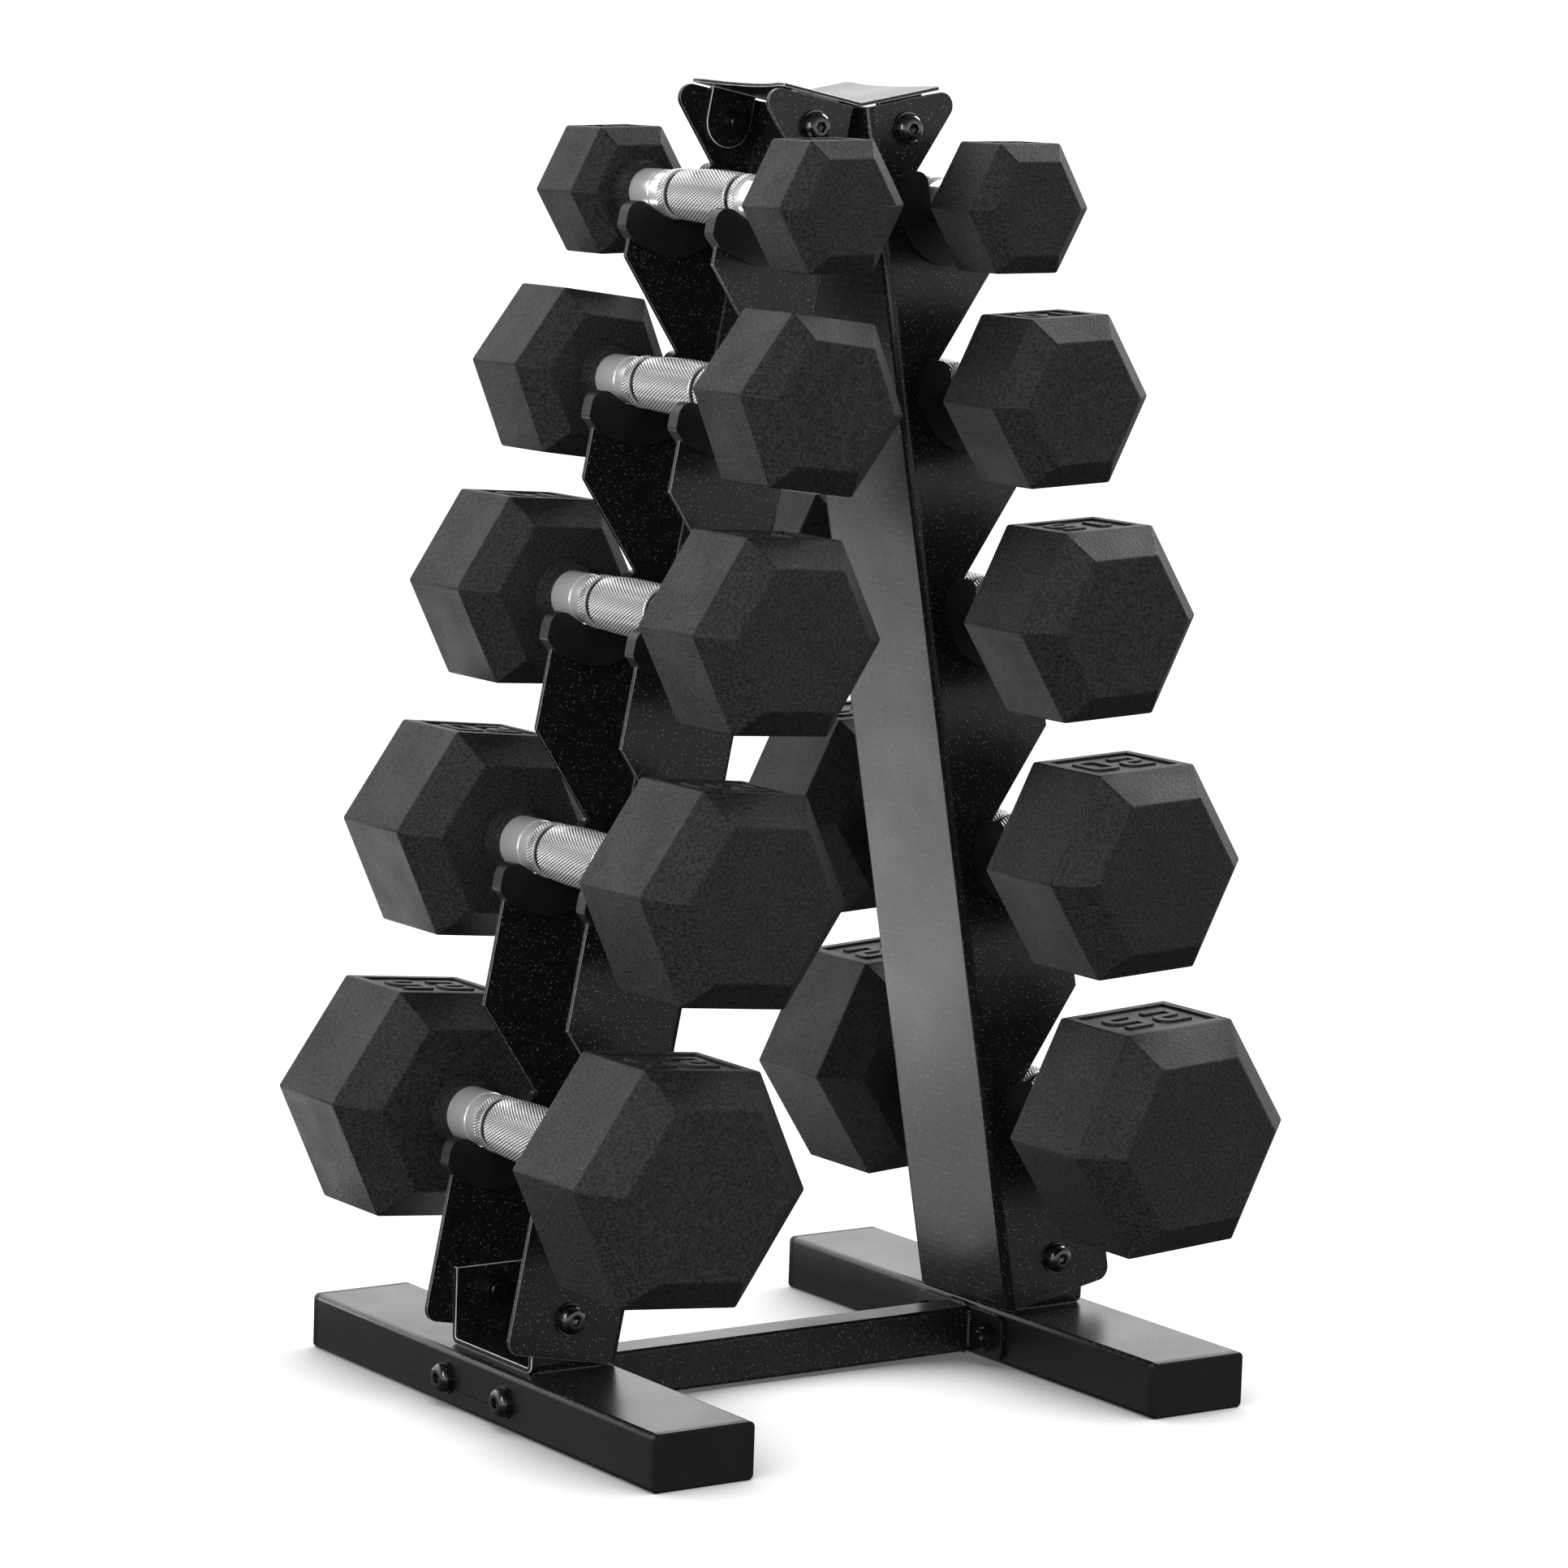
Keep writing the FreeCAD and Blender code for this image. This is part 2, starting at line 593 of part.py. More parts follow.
def build_top_bracket():
    """Top plate with four ears, drilled for the upper bolts."""
    pieces = [build_top_plate()]
    drills = []
    for side in SIDES:
        pieces += ear_pieces(side)
        drill = doc.addObject("Part::Cylinder", f"{side}_top_drill")
        bind(drill, Radius="dims.bolt_hole / 2",
             Height="dims.channel_width + 2 * dims.cut_beyond")
        start = -size("channel_width") / 2 - size("cut_beyond")
        local = at(size("top_bolt_u"), start, size("top_bolt_v"), facing((0, 1, 0)))
        drill.Placement = upright_frame(side).multiply(local)
        drills.append(drill)
    solid = doc.addObject("Part::MultiFuse", "top_bracket_blank")
    solid.Shapes = pieces
    drilled = doc.addObject("Part::MultiFuse", "top_drills")
    drilled.Shapes = drills
    return boolean("Cut", "top_bracket", solid, drilled)


# --- feet ------------------------------------------------------------------

def build_foot(side):
    """Rectangular floor tube with holes for the cross tube's bolts."""
    body = new_body(f"{side}_foot")
    section = new_sketch(body, f"{side}_foot_section", "XZ_Plane")
    width = "dims.foot_width / 2"
    wall = "dims.foot_wall"
    rectangle(section, f"-({width})", width, "0", "dims.foot_height")
    length = "dims.foot_length - 2 * dims.cap_flange"
    pad(body, section, length, both_ways=True)
    round_edges(body, f"{side}_foot_corners", "dims.foot_corner",
                lambda e: runs_along(e, 1))
    hollow = new_sketch(body, f"{side}_foot_hollow", "XZ_Plane")
    rectangle(hollow, f"{wall} - {width}", f"{width} - {wall}",
              wall, f"dims.foot_height - {wall}")
    cut_through(body, hollow)
    holes = new_sketch(body, f"{side}_foot_holes", "YZ_Plane")
    height = "dims.tube_z + dims.tube_height / 2"
    circle(holes, "dims.tube_bolt_pitch / 2", height, "dims.bolt_hole / 2")
    circle(holes, "-dims.tube_bolt_pitch / 2", height, "dims.bolt_hole / 2")
    cut_through(body, holes)
    middle = size("foot_outer") - size("foot_width") / 2
    body.Placement = at(SIDES[side] * middle, 0, 0)
    return body


def build_end_caps():
    """Four moulded caps, each a plate with a hollow plug in the tube."""
    body = new_body("end_cap")
    half = "dims.foot_width / 2"
    face = new_sketch(body, "cap_face", "XZ_Plane")
    rectangle(face, f"-({half})", half, "0", "dims.foot_height")
    pad(body, face, "dims.cap_flange")
    round_edges(body, "cap_corners", "dims.foot_corner", lambda e: runs_along(e, 1))
    thickness = size("cap_flange")
    round_edges(body, "cap_rim", "dims.cap_rim",
                lambda e: all(abs(v.Point.y + thickness) < 1e-3 for v in e.Vertexes))
    inset = "dims.foot_wall + dims.cap_play"
    plug = new_sketch(body, "cap_plug", "XZ_Plane")
    rectangle(plug, f"{inset} - {half}", f"{half} - ({inset})",
              inset, f"dims.foot_height - ({inset})")
    pad(body, plug, "dims.cap_plug", backwards=True)
    inset = f"{inset} + dims.cap_wall"
    hollow = new_sketch(body, "cap_hollow", "XZ_Plane")
    rectangle(hollow, f"{inset} - {half}", f"{half} - ({inset})",
              inset, f"dims.foot_height - ({inset})")
    cut_down(body, hollow, "dims.cap_plug")
    middle = size("foot_outer") - size("foot_width") / 2
    end = size("foot_length") / 2 - size("cap_flange")
    caps = []
    for sign in SIDES.values():
        caps.append(link(body, at(sign * middle, -end, 0)))
        turned = FreeCAD.Rotation(FreeCAD.Vector(0, 0, 1), 180)
        caps.append(link(body, at(sign * middle, end, 0, turned)))
    return copies("foot_end_caps", caps)


def build_foot_bracket(side):
    """U bracket welded to a foot; its ears stand inside the flanges."""
    body = new_body(f"{side}_foot_bracket")
    outer = "(dims.channel_width / 2 - dims.sheet_gauge - dims.ear_gap)"
    inner = f"({outer} - dims.ear_gauge)"
    section = new_sketch(body, f"{side}_bracket_section", "YZ_Plane")
    outline(section, [
        (f"-{outer}", "0"), (outer, "0"), (outer, "dims.bracket_height"),
        (inner, "dims.bracket_height"), (inner, "dims.ear_gauge"),
        (f"-{inner}", "dims.ear_gauge"), (f"-{inner}", "dims.bracket_height"),
        (f"-{outer}", "dims.bracket_height"),
    ])
    pad(body, section, "dims.bracket_length", both_ways=True)
    reach = size("channel_width") / 2 - size("sheet_gauge") - size("ear_gap")
    gauge = size("ear_gauge")
    bends = [(0, reach, 0), (0, -reach, 0)]
    creases = [(0, reach - gauge, gauge), (0, gauge - reach, gauge)]
    round_edges(body, f"{side}_bracket_bends", "dims.ear_gauge + dims.crease_radius",
                lambda e: any(runs_along(e, 0, point) for point in bends))
    round_edges(body, f"{side}_bracket_creases", "dims.crease_radius",
                lambda e: any(runs_along(e, 0, point) for point in creases))
    middle = size("bracket_inner") + size("bracket_length") / 2
    holes = new_sketch(body, f"{side}_bracket_holes", "XZ_Plane")
    offset = f"{SIDES[side]} * (dims.base_bolt_x - dims.bracket_inner - dims.bracket_length / 2)"
    circle(holes, offset, "dims.base_bolt_z - dims.foot_height", "dims.bolt_hole / 2")
    cut_through(body, holes)
    body.Placement = at(SIDES[side] * middle, 0, size("foot_height"))
    return body


def build_cross_tube():
    """Tube between the feet."""
    body = new_body("cross_tube")
    half = "dims.tube_width / 2"
    wall = "dims.tube_wall"
    section = new_sketch(body, "tube_section", "YZ_Plane")
    rectangle(section, f"-({half})", half, "0", "dims.tube_height")
    span = "2 * (dims.foot_outer - dims.foot_width - dims.end_plate_gauge)"
    pad(body, section, span, both_ways=True)
    round_edges(body, "tube_corners", "dims.tube_corner", lambda e: runs_along(e, 0))
    hollow = new_sketch(body, "tube_hollow", "YZ_Plane")
    rectangle(hollow, f"{wall} - {half}", f"{half} - {wall}",
              wall, f"dims.tube_height - {wall}")
    cut_through(body, hollow)
    body.Placement = at(0, 0, size("tube_z"))
    return body


def build_end_plates():
    """Bolting plates on the two ends of the cross tube."""
    body = new_body("end_plate")
    face = new_sketch(body, "plate_face", "YZ_Plane")
    half = "dims.end_plate_length / 2"
    rectangle(face, f"-({half})", half, "0", "dims.tube_height")
    pad(body, face, "dims.end_plate_gauge")
    round_edges(body, "plate_corners", "dims.end_plate_corner", lambda e: runs_along(e, 0))
    holes = new_sketch(body, "plate_holes", "YZ_Plane")
    for sign in ("", "-"):
        circle(holes, f"{sign}dims.tube_bolt_pitch / 2", "dims.tube_height / 2",
               "dims.bolt_hole / 2")
    cut_through(body, holes)
    face_x = size("foot_outer") - size("foot_width")
    left = -face_x
    right = face_x - size("end_plate_gauge")
    plates = [link(body, at(x, 0, size("tube_z"))) for x in (left, right)]
    return copies("cross_tube_plates", plates)


# --- fasteners -------------------------------------------------------------

def build_bolt(label, length):
    """Button-head bolt along Z: head above the origin, shank below."""
    body = new_body(label)
    profile = new_sketch(body, f"{label}_profile", "XZ_Plane")
    shank = "dims.bolt_diameter / 2"
    head = [(f"dims.head_radius * {across}", f"dims.head_height * {up}") for across, up in BUTTON]
    outline(profile, [
        ("0", f"-({length})"), (f"{shank} - dims.bolt_chamfer", f"-({length})"),
        (shank, f"dims.bolt_chamfer - ({length})"), (shank, "0"),
    ] + head)
    turn = body.newObject("PartDesign::Revolution", f"{label}_turned")
    turn.Profile = profile
    turn.ReferenceAxis = (profile, ["V_Axis"])
    turn.Angle = 360
    socket = new_sketch(body, f"{label}_socket", "XY_Plane", "dims.head_height")
    hexagon(socket, "dims.socket_width")
    cut_down(body, socket, "dims.head_height * dims.socket_share")
    return body


def build_nut():
    """Lock nut along Z with a plain collar on top."""
    body = new_body("nut")
    flats = new_sketch(body, "nut_flats", "XY_Plane")
    hexagon(flats, "dims.nut_width")
    pad(body, flats, "dims.nut_height * dims.nut_hex_share")
    collar = new_sketch(body, "nut_collar", "XY_Plane")
    circle(collar, "0", "0", "dims.nut_width / 2 - dims.nut_step")
    pad(body, collar, "dims.nut_height")
    bore = new_sketch(body, "nut_bore", "XY_Plane")
    circle(bore, "0", "0", "dims.bolt_diameter / 2")
    cut_through(body, bore)
    return body


def build_washer():
    body = new_body("washer")
    ring = new_sketch(body, "washer_ring", "XY_Plane")
    circle(ring, "0", "0", "dims.washer_radius")
    circle(ring, "0", "0", "dims.bolt_hole / 2")
    pad(body, ring, "dims.washer_gauge")
    return body


def upright_bolt_places():
    """Point on a flange's outer face and outward direction, for eight bolts."""
    face = size("channel_width") / 2
    places = []
    for side, sign in SIDES.items():
        top = upright_frame(side).multVec(
            FreeCAD.Vector(size("top_bolt_u"), 0, size("top_bolt_v")))
        base = FreeCAD.Vector(sign * size("base_bolt_x"), 0, size("base_bolt_z"))
        for point in (top, base):
            for outward in ROWS.values():
                places.append((point.x, outward * face, point.z, (0, outward, 0)))
    return places


def tube_bolt_places():
    """The same for the four bolts through the feet."""
    face = size("foot_outer")
    height = size("tube_z") + size("tube_height") / 2
    pitch = size("tube_bolt_pitch") / 2
    places = []
    for outward in SIDES.values():
        for sign in ROWS.values():
            places.append((outward * face, sign * pitch, height, (outward, 0, 0)))
    return places


def along(place, distance):
    """Placement at a distance along the bolt's outward direction."""
    x, y, z, out = place
    return at(x + out[0] * distance, y + out[1] * distance, z, facing(out))


def build_fasteners():
    """Bolts, washers and nuts, identical ones grouped in one node."""
    upright_stack = size("sheet_gauge") + size("ear_gap") + size("ear_gauge")
    foot_stack = size("foot_width") + size("end_plate_gauge")
    grip = "dims.washer_gauge + dims.nut_height + dims.bolt_tail"
    short = build_bolt(
        "short_bolt", f"dims.sheet_gauge + dims.ear_gap + dims.ear_gauge + {grip}")
    long = build_bolt("long_bolt", f"dims.foot_width + dims.end_plate_gauge + {grip}")
    washer = build_washer()
    nut = build_nut()
    upright_places = upright_bolt_places()
    tube_places = tube_bolt_places()
    gauge = size("washer_gauge")
    copies("upright_bolts", [link(short, along(place, gauge)) for place in upright_places])
    copies("cross_tube_bolts", [link(long, along(place, gauge)) for place in tube_places])
    copies("washers", [link(washer, along(place, 0)) for place in upright_places + tube_places])
    nuts = [(place, upright_stack) for place in upright_places]
    nuts += [(place, foot_stack) for place in tube_places]
    away = FreeCAD.Rotation(FreeCAD.Vector(1, 0, 0), 180)
    links = []
    for place, stack in nuts:
        seat = along(place, -stack)
        links.append(link(nut, seat.multiply(FreeCAD.Placement(FreeCAD.Vector(), away))))
    copies("lock_nuts", links)


# --- dumbbells -------------------------------------------------------------

def build_handle(tier):
    """Chrome handle along Y: necks, rings and a barrel grip."""
    body = new_body(f"handle_{tier}")
    profile = new_sketch(body, f"handle_profile_{tier}", "XY_Plane")
    neck = f"dims.neck_{tier}"
    waist = f"dims.waist_{tier}"
    ring = f"dims.grip_{tier} - dims.ring_drop"
    end = f"dims.inner_face + dims.slope_{tier} + dims.stub_depth"
    ring_end = "(dims.waist_inner - dims.ring_width)"
    grip_end = f"({ring_end} - dims.groove_width)"
    groove = f"{ring} - dims.groove_depth"
    half = [
        ("dims.stub_radius - dims.stub_chamfer", end),
        ("dims.stub_radius", f"{end} - dims.stub_chamfer"),
        ("dims.stub_radius", "dims.inner_face"), (neck, "dims.inner_face"),
        (neck, "dims.waist_outer + dims.neck_step"), (waist, "dims.waist_outer"),
        (waist, "dims.waist_inner"), (ring, "dims.waist_inner - dims.ring_bevel"),
        (ring, f"{ring_end} + dims.ring_bevel"), (groove, ring_end),
        (groove, grip_end), (ring, f"{grip_end} - 2 * dims.ring_bevel"),
        (f"dims.grip_{tier} - dims.barrel_drop", f"{grip_end} / 2"),
    ]
    mirrored = [(x, f"-({y})") for x, y in reversed(half)]
    middle = [(f"dims.grip_{tier}", "0")]
    outline(profile, [("0", end)] + half + middle + mirrored + [("0", f"-({end})")])
    turn = body.newObject("PartDesign::Revolution", f"handle_turned_{tier}")
    turn.Profile = profile
    turn.ReferenceAxis = (profile, ["V_Axis"])
    turn.Angle = 360
    return body


def sloped_prism(body, stem, tier, inset):
    """Hex prism along -Y with a sloped end towards each side.

    The inset shrinks every face, so the same routine makes the rubber's
    outside (inset 0) and the iron core inside it.
    """
    flats = f"(dims.flats_{tier} - 2 * ({inset}))"
    slope = f"dims.slope_{tier}"
    straight = f"dims.prism_{tier}"
    taper = f"atan(dims.flats_{tier} * (1 - dims.face_ratio) / 2 / {slope})"
    near = f"dims.inner_face + {slope}"
    far = f"{near} + {straight}"
    middle = new_sketch(body, f"{stem}_middle_{tier}", "XZ_Plane", near)
    hexagon(middle, flats)
    pad(body, middle, straight)
    for name, start, backwards in (("near", near, True), ("far", far, False)):
        sketch = new_sketch(body, f"{stem}_{name}_{tier}", "XZ_Plane", start)
        hexagon(sketch, flats)
        slant = pad(body, sketch, f"{slope} - ({inset})", backwards=backwards)
        slant.setExpression("TaperAngle", f"-{taper}")


def build_head_blank(tier):
    """Rubber outside of a front head, with its collar and top panel."""
    body = new_body(f"head_blank_{tier}")
    sloped_prism(body, "coat", tier, "0")
    round_edges(body, f"coat_edges_{tier}", "dims.head_round", lambda e: True)
    collar = new_sketch(body, f"collar_{tier}", "XZ_Plane",
                        "dims.inner_face - dims.collar_length")
    circle(collar, "0", "0", f"dims.neck_{tier} + dims.collar_wall")
    bind(pad(body, collar, "dims.collar_length"), TaperAngle="dims.collar_taper")
    panel = new_sketch(body, f"panel_{tier}", "XY_Plane",
                       f"dims.flats_{tier} / 2 - dims.panel_depth")
    side = f"(dims.flats_{tier} / sqrt(3) / 2 - dims.panel_margin)"
    near = f"-(dims.inner_face + dims.slope_{tier} + dims.panel_margin)"
    far = f"-(dims.inner_face + dims.slope_{tier} + dims.prism_{tier} - dims.panel_margin)"
    rectangle(panel, f"-{side}", side, far, near)
    cut_down(body, panel, "dims.panel_depth + dims.cut_beyond", backwards=True)
    return body


def build_core(tier):
    """Iron core of a front head, in the rubber."""
    body = new_body(f"core_blank_{tier}")
    sloped_prism(body, "core", tier, f"dims.coat_{tier}")
    return body


def mirrored(source, label):
    """The same piece at the rear end of the handle."""
    twin = doc.addObject("Part::Mirroring", label)
    twin.Label = label
    twin.Source = source
    twin.Base = FreeCAD.Vector(0, 0, 0)
    twin.Normal = FreeCAD.Vector(0, 1, 0)
    return twin


def build_dumbbell_masters(tier):
    """Handle, two heads and two cores of one weight, handle along Y."""
    handle = build_handle(tier)
    blank = build_head_blank(tier)
    core = build_core(tier)
    filling = doc.addObject("Part::MultiFuse", f"filling_{tier}")
    filling.Shapes = [core, handle]
    coat = boolean("Cut", f"coat_{tier}", blank, filling)
    bored = boolean("Cut", f"core_{tier}", core, handle)
    return {
        "handle": [handle],
        "front_head": [coat],
        "rear_head": [mirrored(coat, f"rear_coat_{tier}")],
        "cores": [bored, mirrored(bored, f"rear_core_{tier}")],
    }


def dumbbell_frame(side, tier):
    """A dumbbell's rings lie in the lowest part of its two saddles."""
    seat = upright_frame(side).multVec(
        FreeCAD.Vector(size("seat_u"), 0, size(f"seat_v_{tier}")))
    ring = size(f"grip_{tier}") - size("ring_drop")
    drop = size("seat_radius") - ring - size("rest_gap")
    number = TIERS.index(tier)
    turn = FreeCAD.Rotation(FreeCAD.Vector(0, -1, 0), ROLLS[side][number])
    return at(seat.x, SHIFTS[side][number], seat.z - drop, turn)


def build_dumbbells():
    """The same five masters serve both sides of the rack."""
    for tier, weight in zip(TIERS, WEIGHTS):
        masters = build_dumbbell_masters(tier)
        for side in SIDES:
            frame = dumbbell_frame(side, tier)
            for piece, sources in masters.items():
                copies(f"{side}_{weight:02d}_{piece}", sources, frame)


# --- assembly and export ---------------------------------------------------

def build_all():
    fill_sheet()
    blanks = build_saddle_blanks()
    for side in SIDES:
        upright = build_upright(side)
        for row in ROWS:
            build_saddles(side, row, blanks, upright)
        build_foot(side)
        build_foot_bracket(side)
    build_top_bracket()
    build_end_caps()
    build_cross_tube()
    build_end_plates()
    build_fasteners()
    build_dumbbells()
    doc.recompute()


def node_names():
    """Labels of the finished sub-parts; everything else is a step on the way."""
    names = ["top_bracket", "foot_end_caps", "cross_tube", "cross_tube_plates",
             "upright_bolts", "cross_tube_bolts", "washers", "lock_nuts"]
    for side in SIDES:
        names += [f"{side}_upright", f"{side}_foot", f"{side}_foot_bracket"]
        names += [f"{side}_{row}_saddles" for row in ROWS]
        for weight in WEIGHTS:
            for piece in ("handle", "front_head", "rear_head", "cores"):
                names.append(f"{side}_{weight:02d}_{piece}")
    return names


def check_states():
    for thing in doc.Objects:
        if "Invalid" in thing.State or "Error" in thing.State:
            raise RuntimeError(f"{thing.Label} failed: {thing.State}")


def export_nodes():
    os.makedirs("parts", exist_ok=True)
    shapes = {}
    for name in node_names():
        thing = doc.getObjectsByLabel(name)[0]
        shape = thing.Shape
        if shape.isNull() or not shape.isValid():
            raise RuntimeError(f"{name} has no valid shape")
        shapes[name] = shape
    for name, shape in shapes.items():
        shape.exportStep(f"parts/{name}.step")
        box = shape.BoundBox
        print(f"{name:24s} solids {len(shape.Solids)}  volume {shape.Volume / 1000:9.1f} cm3"
              f"  x {box.XMin:7.1f} {box.XMax:7.1f}  y {box.YMin:7.1f} {box.YMax:7.1f}"
              f"  z {box.ZMin:6.1f} {box.ZMax:6.1f}")


build_all()
check_states()
export_nodes()
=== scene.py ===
import math

import bpy
from mathutils import Matrix, Quaternion, Vector


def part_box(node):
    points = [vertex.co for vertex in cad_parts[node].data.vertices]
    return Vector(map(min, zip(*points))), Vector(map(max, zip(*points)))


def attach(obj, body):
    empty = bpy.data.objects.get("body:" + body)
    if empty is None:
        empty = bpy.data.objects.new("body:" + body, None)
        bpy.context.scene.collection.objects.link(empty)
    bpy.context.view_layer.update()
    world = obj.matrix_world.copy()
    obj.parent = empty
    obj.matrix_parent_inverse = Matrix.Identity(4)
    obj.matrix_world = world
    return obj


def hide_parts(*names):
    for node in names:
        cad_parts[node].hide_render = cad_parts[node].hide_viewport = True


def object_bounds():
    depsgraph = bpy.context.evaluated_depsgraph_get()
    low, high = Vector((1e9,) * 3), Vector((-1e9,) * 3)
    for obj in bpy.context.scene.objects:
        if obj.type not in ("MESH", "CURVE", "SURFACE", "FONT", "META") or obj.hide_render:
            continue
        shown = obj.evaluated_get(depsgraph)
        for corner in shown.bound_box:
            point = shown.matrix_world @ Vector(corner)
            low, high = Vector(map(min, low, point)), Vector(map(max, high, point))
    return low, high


# Looks of a dumbbell rack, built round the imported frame. Lengths are in metres.
# X runs from foot to foot, Y along the feet and the handles, Z up.

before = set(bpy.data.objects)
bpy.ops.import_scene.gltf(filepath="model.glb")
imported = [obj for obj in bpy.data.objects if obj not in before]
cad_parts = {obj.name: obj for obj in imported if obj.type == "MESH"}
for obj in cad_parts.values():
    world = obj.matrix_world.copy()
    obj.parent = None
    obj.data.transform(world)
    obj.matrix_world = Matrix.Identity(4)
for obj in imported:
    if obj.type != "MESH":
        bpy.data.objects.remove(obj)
cad_low, cad_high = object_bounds()

MM = 0.001
SIDES = ("left", "right")
ROWS = {"front": -1, "rear": 1}

# Heads of each weight: across the flats, straight length and sloped length. A head's end
# faces are smaller than its hexagon by a ratio, and the inner one is at a distance from the
# handle's middle.
HEADS = {
    5: (65.0 * MM, 33.0 * MM, 8.2 * MM),
    10: (85.4 * MM, 41.5 * MM, 12.4 * MM),
    15: (96.8 * MM, 48.0 * MM, 15.2 * MM),
    20: (106.2 * MM, 54.5 * MM, 17.2 * MM),
    25: (118.0 * MM, 55.5 * MM, 18.0 * MM),
}
FACE_RATIO = 0.72
INNER_FACE = 70.0 * MM
EDGE_ROUND = 2.0 * MM
PANEL_MARGIN = 5.5 * MM
PANEL_DEPTH = 1.3 * MM

# Handle: where its waist begins and ends, from its middle, then the neck's step, the ring,
# the groove, the rise of the grip and the knurl.
WAIST_OUTER = 44.6 * MM
WAIST_INNER = 35.4 * MM
NECK_STEP = 0.8 * MM
RING_WIDTH = 6.0 * MM
GROOVE_WIDTH = 4.0 * MM
GROOVE_DEPTH = 1.6 * MM
BEVEL = 0.5 * MM
BARREL_RISE = 0.9 * MM
STUB_RADIUS = 10.5 * MM
KNURL_PITCH = 1.75 * MM
KNURL_HELIX = math.radians(30)
KNURL_DEPTH = 0.42 * MM

# Middle lines of the numerals' strokes, in a box one wide and one high, and the points
# where a line turns sharply.
STROKES = {
    "0": [(0, 0), (1, 0), (1, 1), (0, 1)],
    "1": [(0.5, 0), (0.5, 1), (0.1, 0.8)],
    "2": [(1, 0), (0, 0), (0, 0.5), (1, 0.5), (1, 1), (0, 1)],
    "5": [(0, 0), (1, 0), (1, 0.5), (0, 0.5), (0, 1), (1, 1)],
}
SHARP = {"0": (), "1": (1,), "2": (1,), "5": (3, 4)}
LOOPS = {"0"}
SHARP_SHARE = 0.3

# Numerals: a digit as shares of its panel, its stroke as a share of the digit's width, the
# gap and the round corners as shares of the stroke, and the sides' draft as a share of how
# far the digit stands out.
DIGIT_WIDTH = 0.355
DIGIT_HEIGHT = 0.58
STROKE_SHARE = 0.25
DIGIT_GAP = 1.05
CORNER_SHARE = 0.95
DRAFT_SHARE = 0.25
PANEL_SINK = 0.02 * MM

# Flash line round a head, and what a rounded corner or edge lacks, as shares of its radius.
FLASH_RADIUS = 0.32 * MM
FLASH_SINK = 0.18 * MM
CORNER_LOSS = 0.15
EDGE_LOSS = 0.4

# Button-head bolts: the head, its hexagonal socket, the shank and the thread.
BUTTON_RADIUS = 7.6 * MM
BUTTON_HEIGHT = 4.8 * MM
BUTTON_RIM = 0.9 * MM
BUTTON_BREAK = 0.25 * MM
SOCKET_FLATS = 5.0 * MM
SOCKET_DEPTH = 2.5 * MM
SOCKET_POINT = 0.8 * MM
SHANK_RADIUS = 4.0 * MM
THREAD_LENGTH = 14.0 * MM
THREAD_PITCH = 1.25 * MM
THREAD_DEPTH = 0.45 * MM

# Weld beads: radius, ripples, and how thin the tips are and how fast they swell.
BRACKET_BEAD = 1.5 * MM
TUBE_BEAD = 2.0 * MM
RIPPLE_LENGTH = 1.6 * MM
RIPPLE_DEPTH = 0.16
BEAD_STEP = 0.45 * MM
BEAD_TIP = 0.25
BEAD_SWELL = 6

# Eased edges of the sheet and tube work, and how near points are joined before easing.
SHEET_EASE = 0.4 * MM
JOIN_GAP = 0.005 * MM

# Steps in a quarter turn, and a Mix node's colour sockets.
ARC_STEPS = 8
MIX_A = 6
MIX_B = 7
MIX_OUT = 2

# Camera at the photograph's viewing angle.
CAMERA_PLACE = (-1.6048, -2.2983, 0.7074)
CAMERA_AZIMUTH = math.radians(-34.84)
CAMERA_ELEVATION = math.radians(7.96)
CAMERA_ROLL = math.radians(1.93)
CAMERA_LENS = 125.16

# Studio floor and the round backdrop that it bends up into.
FLOOR_RADIUS = 9.0
WALL_HEIGHT = 6.0
WALL_BEND = 2.5

# Studio light. The surroundings are given by height, from straight down to straight up, in
# front of the rack and behind it. The one turns into the other between two directions, given
# by how far they point back.
CONTACT_REACH = 140.0 * MM
WORLD_STRENGTH = 2.0
REAR_BEGINS = (0.1, 0.7)
FRONT_RADIANCE = [(-1.0, 0.02), (-0.5, 0.04), (-0.25, 0.12), (-0.1, 0.5), (0.0, 0.75), (0.2, 0.32),
                  (0.6, 0.1), (1.0, 0.04)]
REAR_RADIANCE = [(-1.0, 0.02), (-0.5, 0.05), (-0.25, 0.12), (-0.1, 0.2), (0.0, 0.7), (0.2, 0.8),
                 (0.5, 1.6), (0.8, 0.3), (1.0, 0.1)]


# --- materials -------------------------------------------------------------

def add_node(tree, kind, settings=None, **inputs):
    """A node with its settings and its sockets set; a socket takes a value or a link."""
    node = tree.nodes.new(kind)
    for name, value in (settings or {}).items():
        setattr(node, name, value)
    for name, value in inputs.items():
        socket = node.inputs[name.replace("_", " ")]
        if isinstance(value, bpy.types.NodeSocket):
            tree.links.new(value, socket)
        else:
            socket.default_value = value
    return node


def grey(value):
    return (value, value, value, 1.0)


def new_material(name, **inputs):
    material = bpy.data.materials.new(name)
    material.use_nodes = True
    tree = material.node_tree
    shader = tree.nodes["Principled BSDF"]
    for key, value in inputs.items():
        shader.inputs[key.replace("_", " ")].default_value = value
    return material, tree, shader


def object_noise(tree, scale, detail=2.0):
    place = add_node(tree, "ShaderNodeTexCoord").outputs["Object"]
    return add_node(tree, "ShaderNodeTexNoise", Vector=place, Scale=scale,
                    Detail=detail).outputs["Fac"]


